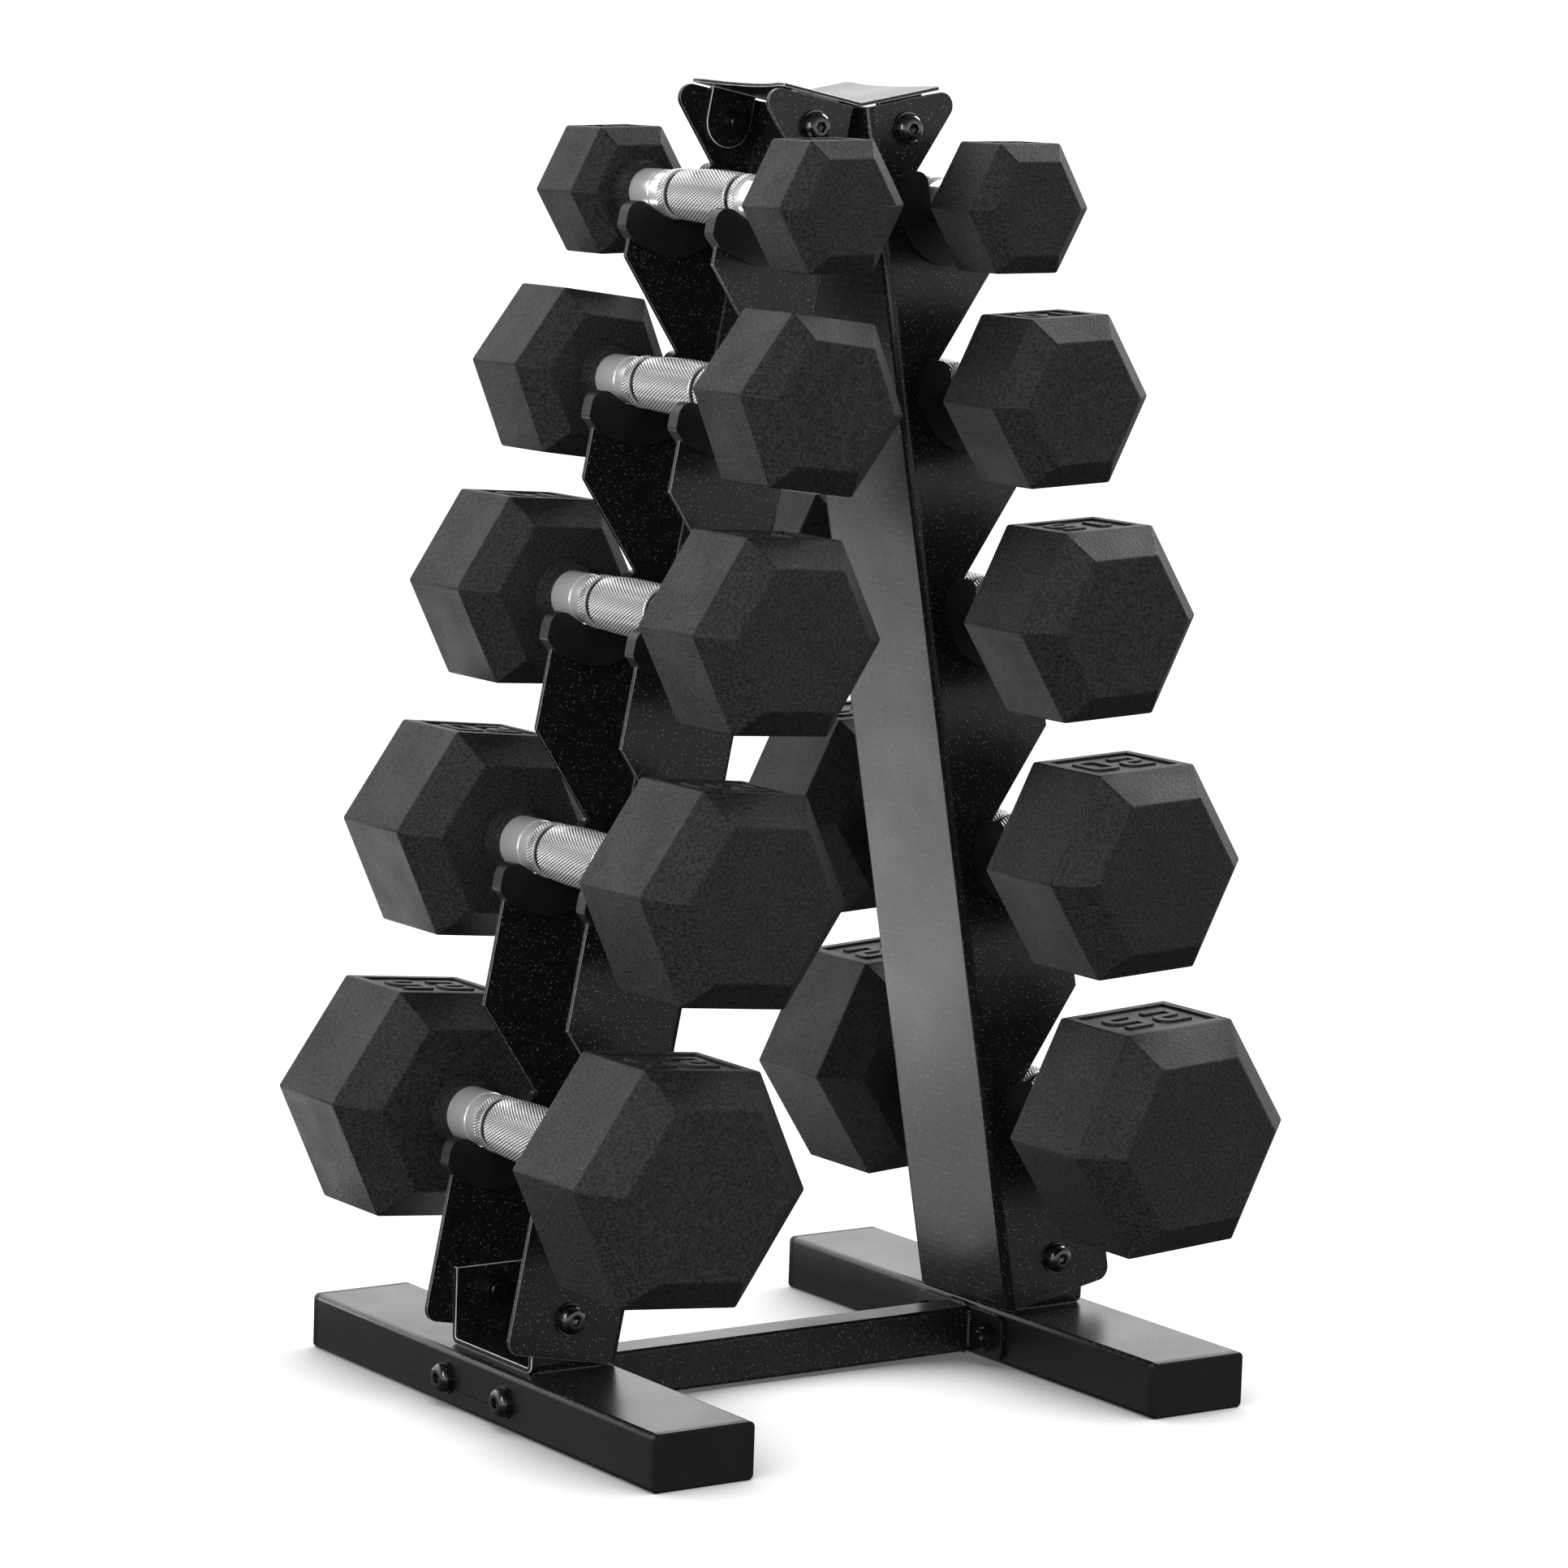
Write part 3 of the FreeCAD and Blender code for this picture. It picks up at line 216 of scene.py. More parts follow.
def ramp(tree, factor, low, high, start=0.3, end=0.7):
    """Maps a factor from start..end to low..high."""
    return add_node(tree, "ShaderNodeMapRange", Value=factor, From_Min=start, From_Max=end,
                    To_Min=low, To_Max=high).outputs["Result"]


def mix_grey(tree, factor, low, high):
    """Colour between two greys."""
    node = add_node(tree, "ShaderNodeMix", {"data_type": "RGBA"})
    tree.links.new(factor, node.inputs["Factor"])
    node.inputs[MIX_A].default_value = grey(low)
    node.inputs[MIX_B].default_value = grey(high)
    return node.outputs[MIX_OUT]


def set_bump(tree, shader, height, distance, strength):
    bump = add_node(tree, "ShaderNodeBump", Height=height, Distance=distance, Strength=strength)
    tree.links.new(bump.outputs["Normal"], shader.inputs["Normal"])


def rubber():
    """Charcoal rubber with the mould's fine stipple."""
    material, tree, shader = new_material("head_rubber_look", Specular_IOR_Level=0.2)
    cloudy = object_noise(tree, 38.0, 4.0)
    grain = object_noise(tree, 700.0, 4.0)
    shade = ramp(tree, grain, 0.0, 1.0, 0.35, 0.65)
    tree.links.new(mix_grey(tree, shade, 0.008, 0.04), shader.inputs["Base Color"])
    tree.links.new(ramp(tree, cloudy, 0.5, 0.62), shader.inputs["Roughness"])
    set_bump(tree, shader, grain, 0.00025, 0.8)
    return material


def powder_coat():
    """Black semi-gloss powder coat with a faint peel, and painted glints: sparse bright specks in
    its base colour.
    """
    material, tree, shader = new_material("powder_coat_look", Specular_IOR_Level=0.32)
    place = add_node(tree, "ShaderNodeTexCoord").outputs["Object"]
    # Sparse cells become bright specks in the base colour: painted glints of the coat's sparkle.
    cells = add_node(tree, "ShaderNodeTexVoronoi", Vector=place, Scale=1300.0)
    pick = add_node(tree, "ShaderNodeSeparateColor", Color=cells.outputs["Color"])
    rare = ramp(tree, pick.outputs["Red"], 0.0, 1.0, 0.85, 1.0)
    near = ramp(tree, cells.outputs["Distance"], 1.0, 0.0, 0.2, 0.4)
    painted_glint = add_node(tree, "ShaderNodeMath", {"operation": "MULTIPLY"})
    tree.links.new(rare, painted_glint.inputs[0])
    tree.links.new(near, painted_glint.inputs[1])
    tree.links.new(mix_grey(tree, painted_glint.outputs[0], 0.008, 0.5), shader.inputs["Base Color"])
    peel = object_noise(tree, 620.0, 3.0)
    cloudy = object_noise(tree, 22.0, 3.0)
    tree.links.new(ramp(tree, cloudy, 0.26, 0.34), shader.inputs["Roughness"])
    set_bump(tree, shader, peel, 0.00008, 0.35)
    return material


def weld_coat():
    """Thick glossy coat over a weld's ripples."""
    material, tree, shader = new_material("weld_look", Specular_IOR_Level=0.7)
    spatter = object_noise(tree, 900.0, 3.0)
    tree.links.new(mix_grey(tree, ramp(tree, spatter, 0.0, 1.0, 0.5, 0.8), 0.005, 0.06),
                   shader.inputs["Base Color"])
    tree.links.new(ramp(tree, spatter, 0.1, 0.25), shader.inputs["Roughness"])
    set_bump(tree, shader, spatter, 0.0003, 0.6)
    return material


def worn_edge():
    """Painted highlight along the sheet's edges: light grey, shiny bevel faces on the black coat.
    """
    material, tree, shader = new_material("worn_edge_look", Specular_IOR_Level=0.8)
    mottle = object_noise(tree, 160.0, 3.0)
    # Light grey base colour on the bevel faces paints a highlight along the edges; the noise
    # varies its brightness.
    tree.links.new(mix_grey(tree, ramp(tree, mottle, 0.0, 1.0), 0.45, 0.8),
                   shader.inputs["Base Color"])
    tree.links.new(ramp(tree, mottle, 0.25, 0.4), shader.inputs["Roughness"])
    return material


def moulded_plastic(name, shade, roughness, specular):
    """Black moulded plastic with a spark-eroded grain."""
    material, tree, shader = new_material(name, Specular_IOR_Level=specular)
    grain = object_noise(tree, 2100.0, 2.0)
    cloudy = object_noise(tree, 60.0, 3.0)
    tree.links.new(mix_grey(tree, ramp(tree, cloudy, 0.0, 1.0), shade * 0.8, shade * 1.25),
                   shader.inputs["Base Color"])
    tree.links.new(ramp(tree, cloudy, roughness - 0.05, roughness + 0.06),
                   shader.inputs["Roughness"])
    set_bump(tree, shader, grain, 0.00008, 0.4)
    return material


def black_steel():
    """Oiled black oxide on the bolts, nuts and washers."""
    material, tree, shader = new_material("black_steel_look", Specular_IOR_Level=0.9)
    mottle = object_noise(tree, 420.0, 4.0)
    tree.links.new(mix_grey(tree, ramp(tree, mottle, 0.0, 1.0, 0.55, 0.8), 0.004, 0.03),
                   shader.inputs["Base Color"])
    tree.links.new(ramp(tree, mottle, 0.07, 0.16), shader.inputs["Roughness"])
    set_bump(tree, shader, mottle, 0.00004, 0.3)
    return material


def cast_iron():
    """Grey iron with the rough skin of its sand mould."""
    material, tree, shader = new_material("cast_iron_look", Metallic=0.8)
    sand = object_noise(tree, 520.0, 4.0)
    tree.links.new(mix_grey(tree, ramp(tree, sand, 0.0, 1.0), 0.06, 0.2),
                   shader.inputs["Base Color"])
    tree.links.new(ramp(tree, sand, 0.6, 0.8), shader.inputs["Roughness"])
    set_bump(tree, shader, sand, 0.0004, 0.6)
    return material


def chrome():
    """Polished chrome with painted shade: its base colour turns dark in the knurl's valleys and
    the turned grooves.
    """
    material, tree, shader = new_material("chrome_look", Metallic=0.6, Specular_IOR_Level=0.8)
    # The groove attribute marks the knurl's valleys and the turned grooves; there the base colour
    # is darkened into painted shade.
    groove = add_node(tree, "ShaderNodeAttribute", {"attribute_name": "groove"}).outputs["Fac"]
    painted_sunk_shade = ramp(tree, groove, 0.0, 1.0, 0.45, 1.0)
    tree.links.new(mix_grey(tree, painted_sunk_shade, 1.0, 0.02), shader.inputs["Base Color"])
    smudge = object_noise(tree, 90.0, 3.0)
    tree.links.new(ramp(tree, smudge, 0.12, 0.22), shader.inputs["Roughness"])
    return material


def floor_white():
    """White glowing floor with a painted contact shadow: its glow dims close to what stands on it.
    """
    material, tree, shader = new_material("floor_look", Roughness=0.9, Specular_IOR_Level=0.1,
                                          Emission_Color=grey(1.0))
    # Ambient occlusion dims the emission: a painted contact shadow, not one that the lamps cast.
    open_sky = add_node(tree, "ShaderNodeAmbientOcclusion", {"samples": 16},
                        Distance=CONTACT_REACH).outputs["AO"]
    tree.links.new(ramp(tree, open_sky, 0.1, 1.05, 0.35, 0.85), shader.inputs["Emission Strength"])
    speckle = object_noise(tree, 3.0, 2.0)
    tree.links.new(mix_grey(tree, speckle, 0.14, 0.16), shader.inputs["Base Color"])
    return material


# --- meshes ----------------------------------------------------------------

def new_piece(name, vertices, faces, material, sharp=35.0):
    """Mesh object with smooth faces, and sharp edges past an angle in degrees."""
    mesh = bpy.data.meshes.new(name)
    mesh.from_pydata(vertices, [], faces)
    mesh.validate()
    mesh.shade_smooth()
    mesh.set_sharp_from_angle(angle=math.radians(sharp))
    mesh.materials.append(material)
    thing = bpy.data.objects.new(name, mesh)
    bpy.context.scene.collection.objects.link(thing)
    return thing


def turned(rows, columns, closed_ends=True):
    """Vertices and faces of rows of points joined round and along, with capped ends.

    Each row is a list of points, one for each column.
    """
    vertices = [point for row in rows for point in row]
    faces = []
    for j in range(len(rows) - 1):
        for i in range(columns):
            k = (i + 1) % columns
            faces.append((j * columns + i, j * columns + k,
                          (j + 1) * columns + k, (j + 1) * columns + i))
    if closed_ends:
        last = (len(rows) - 1) * columns
        faces.append(tuple(reversed(range(columns))))
        faces.append(tuple(last + i for i in range(columns)))
    return vertices, faces


def tube(name, points, radius, material):
    """Round bead along straight runs."""
    curve = bpy.data.curves.new(name, "CURVE")
    curve.dimensions = "3D"
    curve.bevel_depth = radius
    curve.bevel_resolution = 2
    curve.use_fill_caps = True
    spline = curve.splines.new("POLY")
    spline.points.add(len(points) - 1)
    for target, point in zip(spline.points, points):
        target.co = (*point, 1.0)
    drawn = bpy.data.objects.new(name + "_line", curve)
    mesh = bpy.data.meshes.new_from_object(drawn)
    bpy.data.objects.remove(drawn)
    mesh.name = name
    mesh.shade_smooth()
    mesh.materials.clear()
    mesh.materials.append(material)
    thing = bpy.data.objects.new(name, mesh)
    bpy.context.scene.collection.objects.link(thing)
    return thing


# --- dumbbells -------------------------------------------------------------

def dumbbell_frame(stem):
    """Matrix from a dumbbell's own axes, handle along Y, to its place in the rack."""
    low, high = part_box(f"{stem}_handle")
    centre = (low + high) / 2
    # The iron cores keep the hexagon's sharp corners.
    corner = max((v.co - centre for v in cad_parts[f"{stem}_cores"].data.vertices),
                 key=lambda away: Vector((away.x, away.z)).length)
    sixth = math.radians(60)
    roll = (math.atan2(corner.z, corner.x) + sixth / 2) % sixth - sixth / 2
    return Matrix.Translation(centre) @ Matrix.Rotation(-roll, 4, "Y")


def radius_at(stem, distance):
    """Largest radius of the CAD handle at a distance from its middle."""
    low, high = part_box(f"{stem}_handle")
    centre = (low + high) / 2
    found = []
    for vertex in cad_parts[f"{stem}_handle"].data.vertices:
        away = vertex.co - centre
        if abs(abs(away.y) - distance) < 0.05 * MM:
            found.append(math.hypot(away.x, away.z))
    return max(found)


def handle_rows(stem):
    """Rows of the handle as (y, radius, surface), from one end to the other."""
    low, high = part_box(f"{stem}_handle")
    end = (high.y - low.y) / 2
    grip = (high.x - low.x) / 2
    ring = grip - BARREL_RISE
    neck = radius_at(stem, INNER_FACE)
    waist = radius_at(stem, WAIST_OUTER)
    ring_end = WAIST_INNER - RING_WIDTH
    grip_end = ring_end - GROOVE_WIDTH
    groove = ring - GROOVE_DEPTH
    step = KNURL_PITCH / 2 / math.tan(KNURL_HELIX)
    half = [
        (end, STUB_RADIUS - 2 * BEVEL, "plain"), (end - 2 * BEVEL, STUB_RADIUS, "plain"),
        (INNER_FACE, STUB_RADIUS, "plain"), (INNER_FACE, neck, "plain"),
        (WAIST_OUTER + NECK_STEP, neck, "plain"), (WAIST_OUTER, waist, "plain"),
        (WAIST_INNER, waist, "plain"), (WAIST_INNER, ring - BEVEL, "plain"),
    ]
    count = max(2, round((RING_WIDTH - 2 * BEVEL) / step))
    for i in range(count + 1):
        y = WAIST_INNER - BEVEL - (RING_WIDTH - 2 * BEVEL) * i / count
        half.append((y, ring, "knurl"))
    half += [(ring_end, ring - BEVEL, "plain"), (ring_end, groove, "groove"),
             (grip_end, groove, "groove"), (grip_end, ring - BEVEL, "plain")]
    top = grip_end - BEVEL
    count = round(top / step)
    for i in range(count):
        y = top * (1 - i / count)
        half.append((y, grip - BARREL_RISE * (y / grip_end) ** 2, "knurl"))
    mirrored = [(-y, radius, surface) for y, radius, surface in reversed(half)]
    return half + [(0.0, grip, "knurl")] + mirrored


def build_handle(stem, material):
    """Chrome handle whose grip and rings are cut with a diamond knurl."""
    rows = handle_rows(stem)
    low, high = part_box(f"{stem}_handle")
    columns = 2 * round(math.pi * (high.x - low.x) / KNURL_PITCH)
    points = []
    sunk_shade_mask = []
    for j, (y, radius, surface) in enumerate(rows):
        line = []
        for i in range(columns):
            angle = 2 * math.pi * i / columns
            valley = surface == "knurl" and (i + j) % 2 == 0
            reach = radius - KNURL_DEPTH if valley else radius
            line.append((reach * math.cos(angle), y, reach * math.sin(angle)))
            # Points in the knurl's valleys and in the turned grooves are marked; the chrome
            # material paints shade there.
            sunk_shade_mask.append(1.0 if valley or surface == "groove" else 0.0)
        points.append(line)
    vertices, quads = turned(points, columns)
    faces = []
    for quad in quads:
        if len(quad) == 4 and sunk_shade_mask[quad[0]] + sunk_shade_mask[quad[2]] == 2:
            faces += [(quad[0], quad[1], quad[2]), (quad[0], quad[2], quad[3])]
        elif len(quad) == 4 and sunk_shade_mask[quad[1]] + sunk_shade_mask[quad[3]] == 2:
            faces += [(quad[1], quad[2], quad[3]), (quad[1], quad[3], quad[0])]
        else:
            faces.append(quad)
    piece = new_piece(f"{stem}_knurled_handle", vertices, faces, material, sharp=25.0)
    # The mark goes to the groove attribute, which the chrome material darkens as painted shade.
    attribute = piece.data.attributes.new("groove", "FLOAT", "POINT")
    attribute.data.foreach_set("value", sunk_shade_mask)
    piece.matrix_world = dumbbell_frame(stem)
    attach(piece, f"{stem}_dumbbell")
    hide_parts(f"{stem}_handle")


def rounded_line(points, sharp, radius, closed, steps=4):
    """Middle line of a stroke, its corners turned into arcs, small ones where it is sharp."""
    count = len(points)
    line = []
    for i, point in enumerate(points):
        here = Vector(point)
        if not closed and i in (0, count - 1):
            line.append(here)
            continue
        before = Vector(points[i - 1]) - here
        after = Vector(points[(i + 1) % count]) - here
        wanted = radius * SHARP_SHARE if i in sharp else radius
        cut = min(wanted, before.length / 2, after.length / 2)
        start = here + before.normalized() * cut
        finish = here + after.normalized() * cut
        for k in range(steps + 1):
            t = k / steps
            line.append(start.lerp(here, t).lerp(here.lerp(finish, t), t))
    return line


def stroke_mesh(line, half_width, height, draft, closed):
    """Raised stroke with sloped sides, standing on z = 0."""
    count = len(line)
    rows = []
    for i, point in enumerate(line):
        if closed:
            along = line[(i + 1) % count] - line[i - 1]
        else:
            along = line[min(i + 1, count - 1)] - line[max(i - 1, 0)]
        side = Vector((-along.y, along.x)).normalized()
        base, top = side * half_width, side * (half_width - draft)
        rows.append([(*(point + base), 0.0), (*(point - base), 0.0),
                     (*(point - top), height), (*(point + top), height)])
    if closed:
        rows.append(rows[0])
    return turned(rows, 4, closed_ends=not closed)


def numeral_mesh(text, width, height, thickness):
    """Digits side by side about the origin, standing on z = 0."""
    stroke = width * STROKE_SHARE
    gap = stroke * DIGIT_GAP
    inner_width, inner_height = width - stroke, height - stroke
    total = len(text) * width + (len(text) - 1) * gap
    vertices, faces = [], []
    for number, digit in enumerate(text):
        left = number * (width + gap) - total / 2 + stroke / 2
        points = [(left + x * inner_width, (y - 0.5) * inner_height) for x, y in STROKES[digit]]
        closed = digit in LOOPS
        line = rounded_line(points, SHARP[digit], stroke * CORNER_SHARE, closed)
        more, sides = stroke_mesh(line, stroke / 2, thickness, thickness * DRAFT_SHARE, closed)
        first = len(vertices)
        vertices += more
        faces += [tuple(first + i for i in face) for face in sides]
    return vertices, faces


def build_numerals(stem, weight, row, material):
    """Raised weight in a head's panel, turned half round but for the right side's rear heads."""
    flats, straight, slope = HEADS[weight]
    across = flats / math.sqrt(3) - 2 * PANEL_MARGIN
    along = straight - 2 * PANEL_MARGIN
    vertices, faces = numeral_mesh(str(weight), across * DIGIT_WIDTH, along * DIGIT_HEIGHT,
                                   PANEL_DEPTH)
    piece = new_piece(f"{stem}_{row}_numerals", vertices, faces, material)
    middle = ROWS[row] * (INNER_FACE + slope + straight / 2)
    turn = 0.0 if stem.startswith("right") and row == "rear" else math.pi
    local = Matrix.Translation((0, middle, flats / 2 - PANEL_DEPTH - PANEL_SINK))
    piece.matrix_world = dumbbell_frame(stem) @ local @ Matrix.Rotation(turn, 4, "Z")
    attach(piece, f"{stem}_dumbbell")


def build_parting_line(stem, weight, row, material):
    """Flash line left by the mould, round a head through its side corners."""
    flats, straight, slope = HEADS[weight]
    corner = flats / math.sqrt(3) - EDGE_ROUND * CORNER_LOSS
    face = corner * FACE_RATIO
    near = INNER_FACE + slope
    far = near + straight
    edge = EDGE_ROUND * EDGE_LOSS
    rim = corner - FLASH_SINK
    side = [(face, INNER_FACE + FLASH_SINK), (rim, near + edge), (rim, far - edge),
            (face - edge, far + slope - FLASH_SINK)]
    sign = ROWS[row]
    points = [(x, sign * y, 0.0) for x, y in side]
    points += [(-x, sign * y, 0.0) for x, y in reversed(side)]
    piece = tube(f"{stem}_{row}_parting_line", points, FLASH_RADIUS, material)
    piece.matrix_world = dumbbell_frame(stem)
    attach(piece, f"{stem}_dumbbell")


def build_dumbbells(rubber_look, chrome_look, iron_look):
    for side in SIDES:
        for weight in HEADS:
            stem = f"{side}_{weight:02d}"
            build_handle(stem, chrome_look)
            paint(f"{stem}_cores", iron_look)
            for row in ROWS:
                paint(f"{stem}_{row}_head", rubber_look)
                build_numerals(stem, weight, row, rubber_look)
                build_parting_line(stem, weight, row, rubber_look)


# --- rack ------------------------------------------------------------------

def paint(name, material):
    """Give a CAD node its material."""
    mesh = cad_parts[name].data
    mesh.materials.clear()
    mesh.materials.append(material)


def ease_edges(name, width, highlight_look):
    """Slightly rounded edges on a CAD node, by modifiers that leave its mesh alone; a given look
    goes on the bevel faces as a painted edge highlight.
    """
    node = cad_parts[name]
    if highlight_look:
        node.data.materials.append(highlight_look)
    weld = node.modifiers.new("join", "WELD")
    weld.merge_threshold = JOIN_GAP
    bevel = node.modifiers.new("ease", "BEVEL")
    bevel.width = width
    bevel.segments = 2
    bevel.limit_method = "ANGLE"
    bevel.angle_limit = math.radians(40)
    bevel.harden_normals = True
    # The bevel faces take the painted highlight look when one is given.
    bevel.material = 1 if highlight_look else 0


def islands(name, key):
    """Boxes of a CAD node's separate solids, told apart by a key of each point."""
    groups = {}
    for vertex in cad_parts[name].data.vertices:
        groups.setdefault(key(vertex.co), []).append(vertex.co)
    boxes = []
    for points in groups.values():
        low = Vector([min(p[i] for p in points) for i in range(3)])
        high = Vector([max(p[i] for p in points) for i in range(3)])
        boxes.append((low, high))
    return boxes


def ring(radius, height, columns, flats=None):
    """One row of points round Z; with flats, a hexagon of that size instead of a circle."""
    points = []
    for i in range(columns):
        angle = 2 * math.pi * i / columns
        reach = radius
        if flats:
            sixth = math.radians(60)
            reach = flats / 2 / math.cos(angle % sixth - sixth / 2)
        points.append((reach * math.cos(angle), reach * math.sin(angle), height))
    return points


def bolt_rows(length, columns=48):
    """Button-head bolt along Z, head up, its tip at z = 0."""
    seat = length - BUTTON_HEIGHT
    rows = [
        ring(0, length - SOCKET_DEPTH - SOCKET_POINT, columns),
        ring(0, length - SOCKET_DEPTH, columns, SOCKET_FLATS),
        ring(0, length - BUTTON_BREAK, columns, SOCKET_FLATS),
        ring(0, length, columns, SOCKET_FLATS + 2 * BUTTON_BREAK),
    ]
    crown = BUTTON_RADIUS / 2
    dome = BUTTON_HEIGHT - BUTTON_RIM
    for k in range(ARC_STEPS + 1):
        turn = math.radians(90) * k / ARC_STEPS
        reach = crown + (BUTTON_RADIUS - crown) * math.sin(turn)
        rows.append(ring(reach, seat + BUTTON_RIM + dome * math.cos(turn), columns))
    rows += [ring(BUTTON_RADIUS, seat + BUTTON_BREAK, columns),
             ring(BUTTON_RADIUS - BUTTON_BREAK, seat, columns), ring(SHANK_RADIUS, seat, columns)]
    height = min(seat - 1 * MM, THREAD_LENGTH)
    while height > THREAD_PITCH:
        rows.append(ring(SHANK_RADIUS, height, columns))
        rows.append(ring(SHANK_RADIUS - THREAD_DEPTH, height - THREAD_PITCH / 2, columns))
        height -= THREAD_PITCH
    rows.append(ring(SHANK_RADIUS - THREAD_DEPTH, 0.0, columns))
    return rows


def build_bolts(node, key, material):
    """All bolts of one CAD node, as one piece."""
    vertices, faces = [], []
    for low, high in islands(node, key):
        centre = (low + high) / 2
        longest = max(range(3), key=lambda i: (high - low)[i])
        out = Vector((0, 0, 0))
        out[longest] = math.copysign(1, centre[longest])
        tip = centre - out * (high - low)[longest] / 2
        turn = Vector((0, 0, 1)).rotation_difference(out).to_matrix()
        rows = bolt_rows((high - low)[longest])
        more, sides = turned(rows, len(rows[0]))
        first = len(vertices)
        vertices += [tip + turn @ Vector(point) for point in more]
        faces += [tuple(reversed([first + i for i in face])) for face in sides]
    piece = new_piece(f"{node}_turned", vertices, faces, material, sharp=40.0)
    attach(piece, "rack")
    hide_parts(node)


def bead_rows(start, end, radius, columns=10):
    """Rippled weld bead between two points, thinner towards its ends."""
    start, end = Vector(start), Vector(end)
    along = (end - start).normalized()
    side = along.orthogonal().normalized()
    other = along.cross(side)
    length = (end - start).length
    steps = max(8, round(length / BEAD_STEP))
    rows = []
    for j in range(steps + 1):
        share = j / steps
        taper = min(1.0, BEAD_SWELL * min(share, 1 - share) + BEAD_TIP)
        ripple = math.sin(2 * math.pi * share * length / RIPPLE_LENGTH)
        reach = radius * taper * (1 + RIPPLE_DEPTH * ripple)
        centre = start + along * length * share
        rows.append([centre + (side * math.cos(2 * math.pi * i / columns)
                               + other * math.sin(2 * math.pi * i / columns)) * reach
                     for i in range(columns)])
    return rows


def build_welds(name, lines, radius, material):
    vertices, faces = [], []
    for start, end in lines:
        rows = bead_rows(start, end, radius)
        more, sides = turned(rows, len(rows[0]))
        first = len(vertices)
        vertices += more
        faces += [tuple(first + i for i in face) for face in sides]
    piece = new_piece(name, vertices, faces, material, sharp=80.0)
    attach(piece, "rack")


def foot_bracket_welds(material):
    """Beads along the two long edges of each foot bracket."""
    inset = 2 * MM
    overhang = 1 * MM
    rise = 0.3 * MM
    for side in SIDES:
        low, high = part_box(f"{side}_foot_bracket")
        lines = []
        for y in (low.y + overhang, high.y - overhang):
            lines.append(((low.x + inset, y, low.z + rise), (high.x - inset, y, low.z + rise)))
        build_welds(f"{side}_foot_bracket_welds", lines, BRACKET_BEAD, material)


def cross_tube_welds(material):
    """Beads round the tube where it meets its end plates."""
    inset = 1.5 * MM
    rise = 0.8 * MM
    low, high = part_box("cross_tube")
    lines = []
    for x in (low.x, high.x):
        for y in (low.y, high.y):
            lines.append(((x, y, low.z + inset), (x, y, high.z - inset)))
        for z in (low.z + rise, high.z):
            lines.append(((x, low.y + inset, z), (x, high.y - inset, z)))
    build_welds("cross_tube_welds", lines, TUBE_BEAD, material)


def build_rack():
    coat = powder_coat()
    # Painted highlight for the sheet work's eased edges.
    edge = worn_edge()
    saddle = moulded_plastic("saddle_look", 0.01, 0.42, 0.35)
    cap = moulded_plastic("cap_look", 0.006, 0.36, 0.2)
    steel = black_steel()
    sheet_work = ["top_bracket"]
    tube_work = ["cross_tube", "cross_tube_plates"]
    for side in SIDES:
        sheet_work += [f"{side}_upright", f"{side}_foot_bracket"]
        tube_work += [f"{side}_foot"]
        for row in ROWS:
            paint(f"{side}_{row}_saddles", saddle)
    for name in sheet_work + tube_work:
        paint(name, coat)
        ease_edges(name, SHEET_EASE, edge if name in sheet_work else None)
    paint("foot_end_caps", cap)
    for name in ("washers", "lock_nuts"):
        paint(name, steel)
    build_bolts("upright_bolts", lambda p: (p.x > 0, p.y > 0, p.z > cad_high.z / 2), steel)
    build_bolts("cross_tube_bolts", lambda p: (p.x > 0, p.y > 0), steel)
    weld = weld_coat()
    foot_bracket_welds(weld)
    cross_tube_welds(weld)


# --- studio ----------------------------------------------------------------

def build_stage():
    """Pale floor that rises into a round backdrop far from the rack."""
    columns = 96
    rows = [ring(0.001, 0, columns), ring(FLOOR_RADIUS / 2, 0, columns)]
    for k in range(ARC_STEPS + 1):
        turn = math.radians(90) * k / ARC_STEPS
        reach = FLOOR_RADIUS + WALL_BEND * math.sin(turn)
        rows.append(ring(reach, WALL_BEND * (1 - math.cos(turn)), columns))
    rows.append(ring(FLOOR_RADIUS + WALL_BEND, WALL_HEIGHT, columns))
    vertices, faces = turned(rows, columns)
    floor = new_piece("studio_floor", vertices, faces[:-1], floor_white(), sharp=60.0)
    floor.visible_diffuse = False
    floor.visible_glossy = False
    floor.visible_shadow = False


def radiance(tree, height, stops):
    """Grey by height, from stops of (height, grey)."""
    factor = ramp(tree, height, 0.0, 1.0, -1.0, 1.0)
    node = add_node(tree, "ShaderNodeValToRGB", Fac=factor)
    elements = node.color_ramp.elements
    elements.remove(elements[0])
    for i, (level, shade) in enumerate(stops):
        element = elements[0] if i == 0 else elements.new((level + 1) / 2)
        element.position = (level + 1) / 2
        element.color = grey(shade)
    return node.outputs["Color"]


def build_world():
    """Studio surroundings by direction: a bright room behind the rack, a dimmer one in front."""
    world = bpy.data.worlds.new("studio")
    bpy.context.scene.world = world
    world.use_nodes = True
    tree = world.node_tree
    place = add_node(tree, "ShaderNodeTexCoord").outputs["Generated"]
    parts = add_node(tree, "ShaderNodeSeparateXYZ", Vector=place).outputs
    rear = ramp(tree, parts["Y"], 0.0, 1.0, *REAR_BEGINS)
    blend = add_node(tree, "ShaderNodeMix", {"data_type": "RGBA"})
    tree.links.new(rear, blend.inputs["Factor"])
    tree.links.new(radiance(tree, parts["Z"], FRONT_RADIANCE), blend.inputs[MIX_A])
    tree.links.new(radiance(tree, parts["Z"], REAR_RADIANCE), blend.inputs[MIX_B])
    background = tree.nodes["Background"]
    tree.links.new(blend.outputs[MIX_OUT], background.inputs["Color"])
    background.inputs["Strength"].default_value = WORLD_STRENGTH


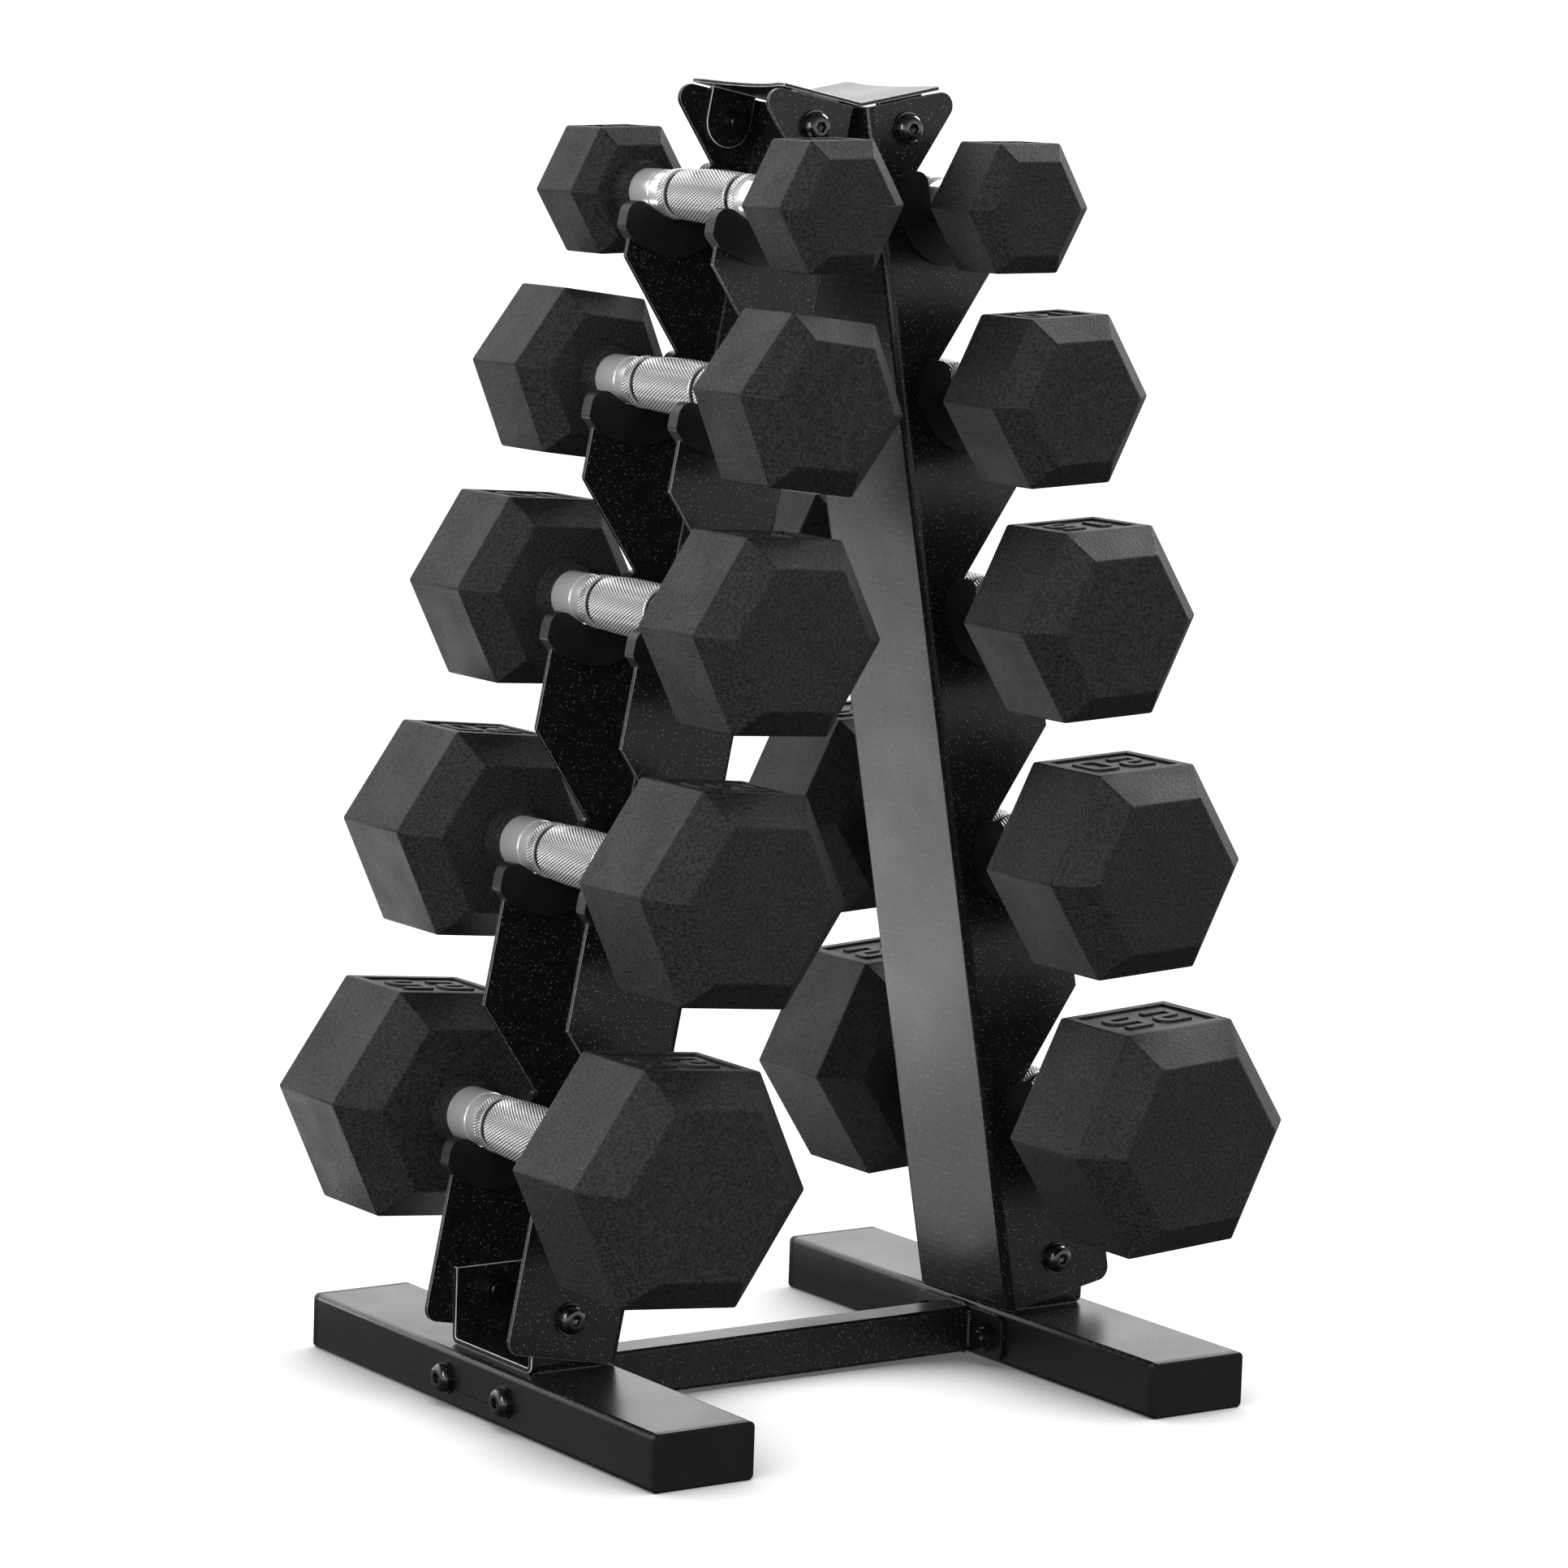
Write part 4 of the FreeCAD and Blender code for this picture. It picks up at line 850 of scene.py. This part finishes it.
def area_light(name, place, aim, size, power, spin=0.0):
    """Rectangular light that faces its aim, spun about that direction."""
    light = bpy.data.lights.new(name, "AREA")
    light.shape = "RECTANGLE"
    light.size, light.size_y = size
    light.energy = power
    thing = bpy.data.objects.new(name, light)
    thing.location = place
    toward = Vector(aim) - Vector(place)
    thing.visible_camera = False
    turn = toward.to_track_quat("-Z", "Y") @ Quaternion((0, 0, 1), spin)
    thing.rotation_euler = turn.to_euler()
    bpy.context.scene.collection.objects.link(thing)


def build_lights():
    """Soft lights on both sides, a low narrow one for the edges, and two that lie on the floor."""
    middle = (cad_low + cad_high) / 2
    area_light("left_softbox", (-1.9, -0.8, 1.1), middle, (0.9, 1.1), 17.0)
    area_light("right_softbox", (2.0, 0.2, 2.0), middle, (0.9, 0.9), 52.0)
    area_light("edge_softbox", (-2.2, -1.7, 0.5), middle, (0.25, 1.2), 5.0)
    # These two lie along the line that the right upright's web mirrors.
    area_light("floor_bounce", (-0.4, 0.9, 0.01), (-0.4, 0.9, 1.0), (0.36, 1.3), 5.2,
               spin=math.radians(-30))
    area_light("near_bounce", (-0.03, 0.24, 0.01), (-0.03, 0.24, 1.0), (0.2, 0.34), 0.35)


def build_camera():
    data = bpy.data.cameras.new("camera")
    data.lens = CAMERA_LENS
    camera = bpy.data.objects.new("camera", data)
    bpy.context.scene.collection.objects.link(camera)
    flat = math.cos(CAMERA_ELEVATION)
    back = Vector((math.sin(CAMERA_AZIMUTH) * flat, -math.cos(CAMERA_AZIMUTH) * flat,
                   math.sin(CAMERA_ELEVATION)))
    level = Vector((math.cos(CAMERA_AZIMUTH), math.sin(CAMERA_AZIMUTH), 0))
    rise = back.cross(level)
    right = level * math.cos(CAMERA_ROLL) + rise * math.sin(CAMERA_ROLL)
    up = rise * math.cos(CAMERA_ROLL) - level * math.sin(CAMERA_ROLL)
    turn = Matrix((right, up, back)).transposed()
    camera.matrix_world = Matrix.Translation(CAMERA_PLACE) @ turn.to_4x4()
    bpy.context.scene.camera = camera
    bpy.context.scene.view_settings.view_transform = "Standard"


build_rack()
build_dumbbells(rubber(), chrome(), cast_iron())
build_stage()
build_world()
build_lights()
build_camera()
